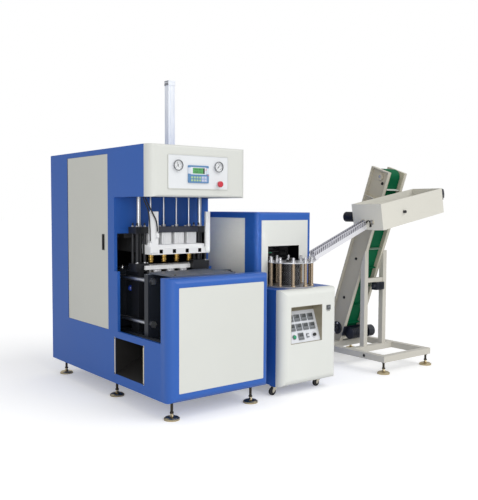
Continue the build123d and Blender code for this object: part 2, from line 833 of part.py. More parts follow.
# Stands: foot block, four pillars and flange under each guide column, on an upright post
half_flange = stand_flange_size / 2
half_pillars = stand_pillar_spacing / 2
flange_z = (stand_flange_top - stand_flange_share * head_room, stand_flange_top)
stand_base_bottom = table_height - stand_base_sink
stand_base_z = (stand_base_bottom, stand_base_bottom + stand_base_share * head_room)
with BuildPart() as column_stands:
    for x in guide_xs:
        slab((x - half_flange, x + half_flange), (axis_y - half_flange, axis_y + half_flange), flange_z)
        bore = guide_column_radius + running_gap
        round_bar(level(x, axis_y, guide_z[0]), bore, seat_depth, Mode.SUBTRACT)
        for dx in (-half_pillars, half_pillars):
            for dy in (-half_pillars, half_pillars):
                with BuildSketch(level(x + dx, axis_y + dy, flange_z[1])) as bolt:
                    RegularPolygon(9, 6)
                extrude(bolt.sketch, amount=8)
        for dx in (-half_pillars, half_pillars):
            for dy in (-half_pillars, half_pillars):
                pillar = level(x + dx, axis_y + dy, stand_base_z[1])
                round_bar(pillar, stand_pillar_radius, flange_z[0] - stand_base_z[1])
    for x, post in zip(guide_xs, post_x):
        base_x = (x - half_flange, x + half_flange)
        slab(base_x, (axis_y - half_flange, axis_y + half_flange), stand_base_z)
        slab(post, (axis_y - post_depth / 2, axis_y + post_depth / 2), (bed_top, stand_base_z[0]))
        for dx in (-38, 38):
            with BuildSketch(level(x + dx, axis_y - half_flange + 7, stand_base_z[1])) as bolt:
                RegularPolygon(5, 6)
            extrude(bolt.sketch, amount=6)
    # Stop block at the right end of the preform tray
    block_x = (centre_x + tray_ear_right + 3, centre_x + tray_ear_right + 3 + stop_block_width)
    block_y = (axis_y - 80 + tray_ear_depth - 1 - stop_block_depth, axis_y - 80 + tray_ear_depth - 1)
    block_bottom = table_height - tray_foot_reach
    slab(block_x, block_y, (block_bottom, block_bottom + stop_block_share * head_room))
finish(column_stands.part, "column_stands")

# Head beam between the flanges, with the fixed risers of the sealing cylinders under it
beam_x = (guide_xs[0] + half_flange, guide_xs[1] - half_flange)
head_beam_height = head_beam_share * head_room
barrel_height = barrel_share * head_room
beam_z = (stand_flange_top - head_beam_height, stand_flange_top)
barrel_z = (beam_z[0] - panel_gap - barrel_height, beam_z[0] - panel_gap)
riser_bottom = barrel_z[0] + seal_stroke + 10
with BuildPart() as head_beam:
    slab(beam_x, (axis_y - head_beam_depth / 2, axis_y + head_beam_depth / 2), beam_z)
    for x in cavity_xs:
        round_bar(level(x, axis_y, beam_z[1]), riser_radius + 3, head_boss_height)
    for i in range(cavity_count - 1):
        gap_x = middle((cavity_xs[i], cavity_xs[i + 1]))
        with BuildSketch(level(gap_x, axis_y - 30, beam_z[1])) as bolt:
            RegularPolygon(8, 6)
        extrude(bolt.sketch, amount=8)
    for x in cavity_xs:
        round_bar(level(x, axis_y, riser_bottom), riser_radius, beam_z[0] - riser_bottom)
        round_bar(level(x, axis_y, riser_bottom), barrel_bore_radius - moving_gap, 12)
        bore = stretch_rod_radius + moving_gap
        bore_height = beam_z[1] + head_boss_height - riser_bottom
        round_bar(level(x, axis_y, riser_bottom), bore, bore_height, Mode.SUBTRACT)
finish(head_beam.part, "head_beam")

plate_front = axis_y - nozzle_plate_overhang
upper_plate_z = (barrel_z[0] - upper_plate_share * head_room, barrel_z[0])
main_plate_z = (upper_plate_z[0] - nozzle_plate_share * head_room, upper_plate_z[0])
port_size = port_share * head_room
plate_run = (centre_x - nozzle_plate_length / 2, centre_x + nozzle_plate_length / 2)
narrow_edge = half_pillars + stand_pillar_radius + 6
narrow_run = (guide_xs[0] + narrow_edge, guide_xs[1] - narrow_edge)
with BuildPart() as nozzle_plate:
    step_y = axis_y - half_pillars - stand_pillar_radius - 14
    slab(plate_run, (plate_front, step_y), main_plate_z)
    slab(narrow_run, (step_y, plate_front + nozzle_plate_depth), main_plate_z)
    slab((plate_run[0], plate_run[1] - 30), (plate_front + 14, step_y), upper_plate_z)
    slab(narrow_run, (step_y, axis_y + 40), upper_plate_z)
    for x in cavity_xs:
        bore = stretch_rod_radius + 2
        round_bar(level(x, axis_y, main_plate_z[0]), bore, 100, Mode.SUBTRACT)
        port_x = (x - 6 - port_size / 2, x - 6 + port_size / 2)
        port_z = (middle(main_plate_z) - port_size / 2, middle(main_plate_z) + port_size / 2)
        slab(port_x, (plate_front - 1, plate_front + 40), port_z, Mode.SUBTRACT)
    # Sealing cylinder barrels, grooved square extrusions on the upper plate
    for x in cavity_xs:
        with BuildSketch(level(x, axis_y, barrel_z[0])) as profile:
            RectangleRounded(barrel_size, barrel_size, 4)
            Circle(barrel_bore_radius, mode=Mode.SUBTRACT)
            with PolarLocations(barrel_size / 2, 4):
                with GridLocations(0, 16, 1, 4):
                    Rectangle(4, 3, mode=Mode.SUBTRACT)
        extrude(profile.sketch, amount=barrel_height)
finish(nozzle_plate.part, "nozzle_plate")

# Upright brackets at both ends of the nozzle plate
bracket_z = (main_plate_z[1], main_plate_z[1] + bracket_share * head_room)
bracket_y = (plate_front - bracket_thickness, plate_front)
left_bracket_x = (plate_run[0] - 14, plate_run[0] - 14 + bracket_width)
right_bracket_x = (plate_run[1] - 36, plate_run[1] - 4)
hose_top = housing_z
hose_plane_y = bracket_y[0] - hose_radius - 3
fitting_a_z = upper_plate_z[1] + head_room / 32
fitting_b_z = fitting_a_z + head_room / 8
hose_b_x = left_bracket_x[1] - 11
with BuildPart() as head_brackets:
    for x, z in ((left_bracket_x[0] - 6, fitting_a_z), (hose_b_x, fitting_b_z)):
        fitting_y = (hose_plane_y - 8, bracket_y[1])
        slab((x - 8, x + 8), fitting_y, (z - fitting_height, z))
    slab(left_bracket_x, bracket_y, (main_plate_z[0] + 12, bracket_z[1]))
    left_return_x = (left_bracket_x[0], left_bracket_x[0] + bracket_thickness)
    slab(left_return_x, (plate_front, plate_front + 12), bracket_z)
    slab(right_bracket_x, bracket_y, (main_plate_z[0] + 12, bracket_z[1]))
    return_y = (plate_front, plate_front + bracket_return)
    right_return_x = (right_bracket_x[1] - bracket_thickness, right_bracket_x[1])
    slab(right_return_x, return_y, (upper_plate_z[1], bracket_z[1]))
finish(head_brackets.part, "head_brackets")

# Brass blow nozzles: shank, grooved body and tapered nose
tray_thickness = tray_share * head_room
tray_bottom = table_height + tray_lift_share * head_room
tray_z = (tray_bottom, tray_bottom + tray_thickness)
nozzle_z = (tray_z[1] + seal_stroke + moving_gap, main_plate_z[0])
with BuildPart() as blow_nozzles:
    body = nozzle_radius
    nozzle_height = length(nozzle_z)
    step = nozzle_height / 31
    with BuildSketch(Plane.XZ) as section:
        with BuildLine():
            Polyline(
                (stretch_rod_radius + 2, 0),
                (body - 6, 0),
                (body - 2.5, 3 * step),
                (body - 2.5, 7 * step),
                (body, 9 * step),
                (body, 15 * step),
                (body - 3, 16 * step),
                (body - 3, 18 * step),
                (body, 19 * step),
                (body, nozzle_height),
                (stretch_rod_radius + 2, nozzle_height),
                (stretch_rod_radius + 2, 0),
            )
        make_face()
    for x in cavity_xs:
        nozzle = revolve(section.sketch, axis=Axis.Z, mode=Mode.PRIVATE)
        add(nozzle.moved(Location((x, axis_y, nozzle_z[0]))))
finish(blow_nozzles.part, "blow_nozzles")

# Stretch carriage: crosshead on two bushes, with the stretch rods and the piston rod
crosshead_z = (crossplate_z[0] - 8 - crosshead_height, crossplate_z[0] - 8)
crosshead_half = guide_spread / 2 + crosshead_end - 12
with BuildPart() as crosshead:
    crosshead_y = (axis_y - crosshead_depth / 2, axis_y + crosshead_depth / 2)
    slab((centre_x - crosshead_half, centre_x + crosshead_half), crosshead_y, crosshead_z)
    fillet(crosshead.edges().filter_by(Axis.Z), 12)
    for x in guide_xs:
        bush_bottom = crosshead_z[1] - bush_height
        round_bar(level(x, axis_y, bush_bottom), bush_radius, bush_height)
        round_bar(level(x, axis_y, bush_bottom), bush_radius + 5, crosshead_z[0] - bush_bottom)
        bore = guide_column_radius + running_gap
        round_bar(level(x, axis_y, bush_bottom), bore, bush_height, Mode.SUBTRACT)
finish(crosshead.part, "crosshead")

rod_z = (nozzle_z[0] + 6, crosshead_z[0])
with BuildPart() as stretch_rods:
    for x in cavity_xs:
        round_bar(level(x, axis_y, rod_z[0]), stretch_rod_radius, length(rod_z))
    fillet(stretch_rods.edges().filter_by(GeomType.CIRCLE).group_by(Axis.Z)[0], stretch_rod_radius - 1)
    for x in cavity_xs:
        with BuildSketch(level(x, axis_y, crosshead_z[0] - 12)) as clamp_nut:
            RegularPolygon(12, 6)
        extrude(clamp_nut.sketch, amount=12)
finish(stretch_rods.part, "stretch_rods")

cylinder_z = (unit_height, unit_height + cylinder_height)
barrel_top = cylinder_z[1] - cylinder_cap_height
barrel_foot = cylinder_z[0] + cylinder_foot_height
piston_z = (barrel_top - 6 - piston_height, barrel_top - 6)
with BuildPart() as stretch_piston:
    round_bar(level(centre_x, axis_y, crosshead_z[1]), piston_rod_radius, piston_z[0] - crosshead_z[1])
    round_bar(level(centre_x, axis_y, piston_z[0]), cylinder_bore_radius - moving_gap, piston_height)
finish(stretch_piston.part, "stretch_piston")

with BuildPart() as stretch_cylinder:
    with BuildSketch(level(centre_x, axis_y, barrel_foot)) as profile:
        RectangleRounded(cylinder_size, cylinder_size, 5)
        Circle(cylinder_bore_radius, mode=Mode.SUBTRACT)
        with PolarLocations(cylinder_size / 2 - cylinder_slot_depth / 2 + 0.5, 4):
            with GridLocations(0, cylinder_size / 2, 1, 2):
                Rectangle(cylinder_slot_depth + 1, cylinder_slot_width, mode=Mode.SUBTRACT)
    extrude(profile.sketch, amount=barrel_top - barrel_foot)
    with BuildSketch(level(centre_x, axis_y, cylinder_z[0])) as foot_cap:
        RectangleRounded(cylinder_size + 4, cylinder_size + 4, 5)
        Circle(piston_rod_radius + running_gap, mode=Mode.SUBTRACT)
    extrude(foot_cap.sketch, amount=cylinder_foot_height)
    with BuildSketch(level(centre_x, axis_y, barrel_top)) as head_cap:
        RectangleRounded(cylinder_size + 4, cylinder_size + 4, 5)
    extrude(head_cap.sketch, amount=cylinder_cap_height)
    chamfer(stretch_cylinder.faces().sort_by(Axis.Z)[-1].edges(), 3)
    with BuildSketch(level(centre_x, axis_y, cylinder_z[1] - 14)) as neck:
        RectangleRounded(cylinder_size + 6, cylinder_size + 6, 5)
        RectangleRounded(cylinder_size, cylinder_size, 5, mode=Mode.SUBTRACT)
    extrude(neck.sketch, amount=5, mode=Mode.SUBTRACT)
finish(stretch_cylinder.part, "stretch_cylinder")

# Preform tray with lifting ears, resting on the fixed mould half by two feet
mould_top = table_height - tray_foot_reach
mould_height = mould_height_share * cabinet_height
mould_z = (mould_top - mould_height, mould_top)
with BuildPart() as preform_tray:
    ear_y = (axis_y - 80, axis_y - 80 + tray_ear_depth)
    slab((centre_x - tray_ear_left, centre_x + tray_ear_right), ear_y, tray_z)
    body_x = (centre_x - tray_body_length / 2, centre_x + tray_body_length / 2)
    slab(body_x, (ear_y[1], ear_y[1] + tray_body_depth), tray_z)
    for x in cavity_xs:
        round_bar(level(x, axis_y, tray_z[0]), preform_neck_radius, tray_thickness, Mode.SUBTRACT)
    for foot_x in (body_x[0] + 2, body_x[1] - 14):
        slab((foot_x, foot_x + 12), (axis_y - 40, axis_y - 12), (mould_top, tray_z[0]))
finish(preform_tray.part, "preform_tray")

# Moulds: two halves with bottle shaped cavities, meeting at the blow axes
mould_x = (centre_x - mould_length / 2, centre_x + mould_length / 2)
neck_bore = preform_neck_radius - 2
bottle_height = bottle_height_share * mould_height
bottle_shoulder = bottle_shoulder_share * mould_height
cavity_floor = mould_top - bottle_height - bottle_shoulder - 20


def mould_half(y):
    """A mould block with half of each bottle cavity in its parting face."""
    with BuildSketch(Plane.XZ) as outline:
        with BuildLine():
            Polyline((0, cavity_floor + 8), (bottle_radius - 8, cavity_floor))
            RadiusArc((bottle_radius - 8, cavity_floor), (bottle_radius, cavity_floor + 8), -8)
            Polyline((bottle_radius, cavity_floor + 8), (bottle_radius, cavity_floor + bottle_height))
            ThreePointArc(
                (bottle_radius, cavity_floor + bottle_height),
                ((bottle_radius + neck_bore) / 2 + 5, cavity_floor + bottle_height + bottle_shoulder * 0.55),
                (neck_bore, cavity_floor + bottle_height + bottle_shoulder),
            )
            Polyline(
                (neck_bore, cavity_floor + bottle_height + bottle_shoulder),
                (neck_bore, mould_top),
                (0, mould_top),
                (0, cavity_floor + 8),
            )
        make_face()
    with BuildPart() as half:
        slab(mould_x, y, mould_z)
        for x in cavity_xs:
            bottle = revolve(outline.sketch, axis=Axis.Z, mode=Mode.PRIVATE)
            add(bottle.moved(Location((x, axis_y, 0))), mode=Mode.SUBTRACT)
    return half.part


with BuildPart() as front_mould:
    add(mould_half((axis_y - mould_half_depth, axis_y)))
    # Neck rings in front of the tray, up to the tray's stop block
    neck_ring_height = tray_z[0] - neck_ring_gap - mould_top
    for x in cavity_xs[:-1]:
        ring_y = axis_y - 80 + tray_ear_depth / 2
        round_bar(level(x, ring_y, mould_top), neck_ring_radius, neck_ring_height)
        ring_top = front_mould.edges().filter_by(GeomType.CIRCLE).group_by(Axis.Z)[-1]
        chamfer(ring_top.filter_by(lambda edge: abs(edge.arc_center.X - x) < 1), 3)
        tapping = facing_front(x, ring_y - neck_ring_radius + 6, mould_top + neck_ring_height / 2)
        round_bar(tapping, 3.5, 12, Mode.SUBTRACT)
finish(front_mould.part, "front_mould")

with BuildPart() as rear_mould:
    add(mould_half((axis_y + moving_gap / 2, axis_y + mould_half_depth)))
finish(rear_mould.part, "rear_mould")

# Platens on four tie bars
platen_x = (centre_x - platen_width / 2 - 24, centre_x + platen_width / 2 + 24)
tie_bar_upper = table_height - tie_bar_drop
tie_bar_lower = tie_bar_upper - tie_bar_rise_share * cabinet_height
platen_z = (tie_bar_lower - 70, table_height)
front_platen_y = (axis_y - mould_half_depth - platen_thickness, axis_y - mould_half_depth)
moving_platen_y = (axis_y + mould_half_depth, axis_y + mould_half_depth + platen_thickness)
rear_platen_y = (
    moving_platen_y[1] + clamp_stroke + 24,
    moving_platen_y[1] + clamp_stroke + 24 + platen_thickness,
)
tie_bar_points = [(x, z) for x in tie_bar_xs for z in (tie_bar_lower, tie_bar_upper)]


def platen(y, bore_radius, low):
    """A platen with four tie bar bores, its lower edge at a height of its own."""
    with BuildPart() as plate:
        slab(platen_x, y, (low, platen_z[1]))
        for x, z in tie_bar_points:
            round_bar(facing_front(x, y[1], z), bore_radius, length(y), Mode.SUBTRACT)
    return plate.part


clamp_z = middle((tie_bar_lower, tie_bar_upper))
rod_y = (moving_platen_y[1], rear_platen_y[1] + 30)
barrel_y = (rear_platen_y[1], rod_y[1] + clamp_stroke + 24)
with BuildPart() as fixed_platens:
    add(platen(front_platen_y, tie_bar_radius + running_gap, bed_top))
    add(platen(rear_platen_y, tie_bar_radius + running_gap, bed_top))
    # Dark table plate between the front cover and the front platen
    table_x = (left + table_plate_left, left + table_plate_right)
    table_y = (cover_back - 20, front_platen_y[1])
    slab(table_x, table_y, (table_height, table_height + table_plate_thickness))
    # Clamp cylinder behind the rear platen
    round_bar(facing_front(centre_x, barrel_y[1], clamp_z), clamp_barrel_radius, length(barrel_y))
    bore_radius = clamp_barrel_radius - clamp_barrel_wall
    inside = facing_front(centre_x, barrel_y[1] - 16, clamp_z)
    round_bar(inside, bore_radius, length(barrel_y) - 16, Mode.SUBTRACT)
    cover_half = clamp_barrel_radius + 8
    cover_x = (centre_x - cover_half, centre_x + cover_half)
    slab(cover_x, (barrel_y[1], barrel_y[1] + 18), (clamp_z - cover_half, clamp_z + cover_half))
    rod_bore = facing_front(centre_x, rear_platen_y[1], clamp_z)
    round_bar(rod_bore, clamp_rod_radius + running_gap, platen_thickness, Mode.SUBTRACT)
finish(fixed_platens.part, "fixed_platens")

with BuildPart() as moving_platen:
    add(platen(moving_platen_y, tie_bar_radius + running_gap, platen_z[0]))
    rod = facing_front(centre_x, rod_y[1], clamp_z)
    round_bar(rod, clamp_rod_radius, length(rod_y))
    round_bar(rod, clamp_barrel_radius - clamp_barrel_wall - moving_gap, 24)
finish(moving_platen.part, "moving_platen")

with BuildPart() as tie_bars:
    bar_y = (front_platen_y[0] - 12, rear_platen_y[1] + 12)
    for x, z in tie_bar_points:
        round_bar(facing_front(x, bar_y[1], z), tie_bar_radius, length(bar_y))
        for nut_y in (bar_y[1], front_platen_y[0]):
            with BuildSketch(facing_front(x, nut_y, z)) as nut:
                RegularPolygon(tie_bar_radius * 1.6, 6)
            extrude(nut.sketch, amount=12)
finish(tie_bars.part, "tie_bars")

# Air hoses from the strip under the housing down to the fittings on the left bracket


def hose(points, radii):
    """A hose along straight runs joined by tangent arcs."""
    with BuildPart() as tube_part:
        with BuildLine() as route:
            FilletPolyline(*points, radius=radii)
        with BuildSketch(Plane(route.line @ 0, z_dir=route.line % 0)):
            Circle(hose_radius)
        sweep(path=route.line)
    return tube_part.part


with BuildPart() as air_hoses:
    entry_x = left + hose_entry_inset
    exit_z = hose_top - 0.027 * head_room
    fork_z = hose_top - 0.21 * head_room
    bend_z = hose_top - 0.223 * head_room
    fork_x = left_bracket_x[0] - hose_radius - 2
    run_a = [(entry_x, hose_top), (entry_x, exit_z), (fork_x, fork_z), (fork_x, fitting_a_z)]
    run_b = [(entry_x + 16, hose_top), (entry_x + 16, exit_z), (fork_x + 20, bend_z)]
    run_b += [(hose_b_x, hose_top - 0.339 * head_room), (hose_b_x, fitting_b_z)]
    for run in (run_a, run_b):
        add(hose([(x, hose_plane_y, z) for x, z in run], 8))
finish(air_hoses.part, "air_hoses")

# Preheater body, open to its front cover, with seats for the castors and the carousel's bearing
heater_x = (heater_left, heater_right)
heater_y = (heater_body_y, heater_back)
table_z = heater_table
carousel_at = (left + carousel_x, front + carousel_y)
shaft_bottom = table_z - 90
castor_xs = [heater_left + castor_inset_left, heater_right - castor_inset_right]
front_castor_y = heater_front + castor_inset_front
rear_castor_y = heater_back - castor_inset_back
seat_z = (heater_bottom - 8, heater_bottom)
fork_top = seat_z[0] - panel_gap
with BuildPart() as heater_body:
    slab(heater_x, heater_y, (heater_bottom, table_z))
    inner_x = (heater_left + sheet, heater_right - sheet)
    inner_y = (heater_body_y + sheet, heater_back - sheet)
    slab(inner_x, inner_y, (heater_bottom + sheet, table_z - sheet), Mode.SUBTRACT)
    mouth_x = (heater_left + 40, heater_right - 40)
    mouth_z = (heater_bottom + 40, table_z - 40)
    slab(mouth_x, (heater_body_y - 1, heater_body_y + sheet + 1), mouth_z, Mode.SUBTRACT)
    for x in castor_xs:
        slab((x - 24, x + 24), (front_castor_y - 24, front_castor_y + 24), seat_z)
        king_pin = level(x, front_castor_y, seat_z[0])
        round_bar(king_pin, castor_pin_radius + running_gap, seat_z[1] - seat_z[0] + sheet, Mode.SUBTRACT)
    # Fixed forks of the rear castors, with one axle line across the machine
    for x in castor_xs:
        slab((x - 22, x + 22), (rear_castor_y - 24, rear_castor_y + 24), seat_z)
        for side in (-1, 1):
            cheek_x = x + side * (castor_wheel_width / 2 + 1 + castor_cheek / 2)
            cheek = (cheek_x - castor_cheek / 2, cheek_x + castor_cheek / 2)
            cheek_z = (castor_wheel_radius - 9, seat_z[0])
            slab(cheek, (rear_castor_y - 11, rear_castor_y + 11), cheek_z)
        axle_half = castor_wheel_width / 2 + 1 + castor_cheek
        axle = facing_right(x - axle_half, rear_castor_y, castor_wheel_radius)
        round_bar(axle, castor_axle_radius, 2 * axle_half)
    # Bearing of the carousel's shaft under the table
    round_bar(level(*carousel_at, shaft_bottom), shaft_radius + 14, table_z - sheet - shaft_bottom)
    round_bar(level(*carousel_at, shaft_bottom), shaft_radius + running_gap, 200, Mode.SUBTRACT)
finish(heater_body.part, "heater_body")

# Rounded front cover of the preheater with the opening for the control recess
recess_x = (heater_left + recess_margin, heater_left + recess_margin + recess_width)
recess_z = (heater_bottom + recess_lift, heater_bottom + recess_lift + recess_height)
recess_wall = 2.0
with BuildPart() as heater_cover:
    add(
        front_shell(
            heater_x,
            (heater_front, heater_body_y),
            (heater_bottom, table_z),
            heater_cover_left_radius,
            heater_cover_right_radius,
            heater_cover_edge_radius,
            sheet,
        )
    )
    rim = recess_wall + panel_gap
    rim_x = (recess_x[0] - rim, recess_x[1] + rim)
    rim_z = (recess_z[0] - rim, recess_z[1] + rim)
    slab(rim_x, (heater_front - 1, heater_front + sheet + 1), rim_z, Mode.SUBTRACT)
finish(heater_cover.part, "heater_cover")

# Control recess: folded sheet pocket with a sloping panel that carries the modules
sill_depth = 12.0
panel_low = (heater_front + sill_depth, recess_z[0])
panel_high = (heater_front + recess_depth, recess_z[1])
panel_plane = Plane(
    (middle(recess_x), middle((panel_low[0], panel_high[0])), middle(recess_z)),
    x_dir=(1, 0, 0),
    z_dir=(0, -recess_height, recess_depth - sill_depth),
)


def on_panel(x, y, z=0.0):
    """A plane parallel to the sloping panel, at a place measured from the panel's middle."""
    return panel_plane * Plane((x, y, z))


module_xs = [module_pitch * (i - 1.5) for i in range(4)]
module_rows = [module_row_pitch * (1 - i) - module_drop for i in range(3)]
button_boss = 6.0
with BuildPart() as control_recess:
    for wall, x, mode in ((recess_wall, (-recess_wall, recess_wall), Mode.ADD), (0, (0, 0), Mode.SUBTRACT)):
        start = recess_x[0] + x[0]
        side_length = recess_width + x[1] - x[0]
        with BuildSketch(Plane.YZ.offset(start)) as pocket:
            with BuildLine():
                Polyline(
                    (heater_front - 1 + wall / 2, recess_z[0] - wall),
                    (panel_low[0] + wall, recess_z[0] - wall),
                    (panel_high[0] + wall, recess_z[1] + wall),
                    (heater_front - 1 + wall / 2, recess_z[1] + wall),
                    (heater_front - 1 + wall / 2, recess_z[0] - wall),
                )
            make_face()
        extrude(pocket.sketch, amount=side_length, mode=mode)
    # Temperature modules in two rows of four, with one more in the row below
    with BuildSketch(on_panel(0, 0)) as modules:
        for x in module_xs:
            for y in module_rows[:2]:
                with Locations((x, y)):
                    RectangleRounded(module_size, module_size, 2)
        with Locations((module_xs[1], module_rows[2])):
            RectangleRounded(module_size, module_size, 2)
    extrude(modules.sketch, amount=module_depth)
    with BuildSketch(on_panel(module_xs[2], module_rows[2])) as switch_block:
        RectangleRounded(20, 28, 2)
    extrude(switch_block.sketch, amount=module_depth + 3)
    round_bar(on_panel(module_xs[0], module_rows[2]), start_button_radius + 4, button_boss)
    button_bore = start_button_radius + running_gap
    round_bar(on_panel(module_xs[0], module_rows[2]), button_bore, button_boss + 1, Mode.SUBTRACT)
    round_bar(on_panel(module_xs[0], module_rows[2], -8), 4 + running_gap, 12, Mode.SUBTRACT)
    round_bar(on_panel(module_xs[3], module_rows[2], -8), 3 + running_gap, 12, Mode.SUBTRACT)
finish(control_recess.part, "control_recess")

with BuildPart() as start_button:
    head_bottom = start_button_travel + moving_gap
    round_bar(on_panel(module_xs[0], module_rows[2], head_bottom), start_button_radius, 8)
    round_bar(on_panel(module_xs[0], module_rows[2], -10), 4, head_bottom + 10)
finish(start_button.part, "start_button")

with BuildPart() as speed_knob:
    knob_base = on_panel(module_xs[3], module_rows[2], moving_gap)
    round_bar(knob_base, speed_knob_radius, speed_knob_height)
    knob_top = on_panel(module_xs[3], module_rows[2], moving_gap + speed_knob_height)
    with BuildSketch(knob_top) as pointer:
        with Locations((0, speed_knob_radius - 5)):
            Rectangle(2, 8)
    extrude(pointer.sketch, amount=1)
    round_bar(on_panel(module_xs[3], module_rows[2], -10), 3, 10 + moving_gap)
finish(speed_knob.part, "speed_knob")

# Oven cabinet on the preheater's table, open to the carousel at the front
oven_z = (table_z, oven_top)
oven_edge = 14.0
oven_mouth_x = (heater_left + oven_mouth_margin, heater_left + oven_mouth_margin + oven_mouth_width)
oven_mouth_z = (table_z, table_z + oven_mouth_height)
oven_door_y = (oven_y + oven_door_setback, oven_y + oven_door_setback + oven_door_width)
oven_door_z = (oven_door_bottom, oven_door_bottom + oven_door_height)
oven_y_span = (oven_y, heater_back)
with BuildPart() as oven_cabinet:
    add(
        front_block(
            heater_x,
            oven_y_span,
            (oven_z[0] - oven_edge, oven_z[1]),
            oven_left_radius,
            oven_right_radius,
            oven_edge,
        )
    )
    add(
        front_block(
            (heater_left + sheet, heater_right - sheet),
            (oven_y + sheet, heater_back - sheet),
            (oven_z[0] - oven_edge, oven_z[1] - sheet),
            oven_left_radius - sheet,
            oven_right_radius - sheet,
            oven_edge - sheet,
        ),
        mode=Mode.SUBTRACT,
    )
    below = (oven_z[0] - oven_edge - 1, oven_z[0])
    slab((heater_left - 1, heater_right + 1), (oven_y - 1, heater_back + 1), below, Mode.SUBTRACT)
    slab(oven_mouth_x, (oven_y - 1, oven_y + sheet + 1), oven_mouth_z, Mode.SUBTRACT)
    door_frame(heater_left, oven_door_y, oven_door_z)
finish(oven_cabinet.part, "oven_cabinet")

with BuildPart() as oven_panel:
    oven_panel_x = (heater_left + oven_panel_margin, heater_right - oven_right_radius - 14)
    oven_panel_z = (table_z, oven_top - oven_panel_head)
    slab(oven_panel_x, (oven_y - 2, oven_y), oven_panel_z)
    slab(oven_mouth_x, (oven_y - 3, oven_y + 1), (table_z - 1, oven_mouth_z[1]), Mode.SUBTRACT)
finish(oven_panel.part, "oven_panel")

with BuildPart() as oven_door:
    add(hinged_door((heater_left, heater_left + door_thickness), oven_door_y, oven_door_z))
finish(oven_door.part, "oven_door")

# Lamp bank: infrared tubes between two end plates in front of a reflector
lamp_y = oven_y + lamp_setback
lamp_x = (middle(oven_mouth_x) - lamp_length / 2, middle(oven_mouth_x) + lamp_length / 2)
lamp_zs = [table_z + 40 + lamp_pitch * i for i in range(lamp_count)]
with BuildPart() as lamp_bank:
    for x in lamp_x:
        slab((x - 4, x + 4), (lamp_y - 16, lamp_y + 24), (table_z, lamp_zs[-1] + 24))
    slab((lamp_x[0] - 4, lamp_x[1] + 4), (lamp_y + 24, lamp_y + 28), (table_z, lamp_zs[-1] + 24))
    for z in lamp_zs:
        round_bar(facing_right(lamp_x[0], lamp_y, z), lamp_radius, lamp_length)
finish(lamp_bank.part, "lamp_bank")

# Carousel: shaft, base plate, toothed drum and the thin top disc that guides the spindles
base_top = table_z + 1 + carousel_base_thickness
disc_bottom = table_z + spindle_height
disc_radius = spindle_circle + spindle_radius + 1
with BuildPart() as carousel:
    round_bar(level(*carousel_at, shaft_bottom), shaft_radius, base_top - shaft_bottom)
    round_bar(level(*carousel_at, table_z + 1), disc_radius, carousel_base_thickness)
    round_bar(level(*carousel_at, base_top), drum_radius - 8, disc_bottom - base_top)
    ring_pitch = (disc_bottom - base_top) / 3
    for i in range(3):
        with BuildSketch(level(*carousel_at, base_top + ring_pitch * (i + 0.25))) as chain_ring:
            Circle(drum_radius - 4)
            with PolarLocations(drum_radius - 5, chain_tooth_count):
                Rectangle(10, 14)
        extrude(chain_ring.sketch, amount=ring_pitch / 2)
    round_bar(level(*carousel_at, disc_bottom), disc_radius, carousel_disc_thickness)
    with BuildSketch(level(*carousel_at, disc_bottom)) as guide_holes:
        with PolarLocations(spindle_circle, spindle_count, start_angle=spindle_start):
            Circle(spindle_radius - 5 + running_gap)
    extrude(guide_holes.sketch, amount=carousel_disc_thickness, mode=Mode.SUBTRACT)
finish(carousel.part, "carousel")

with BuildPart() as spindles:
    spindle_bottom = base_top
    with BuildSketch(level(*carousel_at, spindle_bottom)) as rods:
        with PolarLocations(spindle_circle, spindle_count, start_angle=spindle_start):
            Circle(spindle_radius)
    extrude(rods.sketch, amount=disc_bottom - spindle_bottom)
    disc_top = disc_bottom + carousel_disc_thickness
    with BuildSketch(level(*carousel_at, disc_bottom)) as stems:
        with PolarLocations(spindle_circle, spindle_count, start_angle=spindle_start):
            Circle(spindle_radius - 5)
    extrude(stems.sketch, amount=carousel_disc_thickness)
    with BuildSketch(level(*carousel_at, disc_top)) as collars:
        with PolarLocations(spindle_circle, spindle_count, start_angle=spindle_start):
            Circle(head_radius)
    extrude(collars.sketch, amount=head_height * 0.4)
    with BuildSketch(level(*carousel_at, disc_top + head_height * 0.4)) as noses:
        with PolarLocations(spindle_circle, spindle_count, start_angle=spindle_start):
            Circle(head_radius * 0.6)
    extrude(noses.sketch, amount=head_height * 0.6)
finish(spindles.part, "spindles")

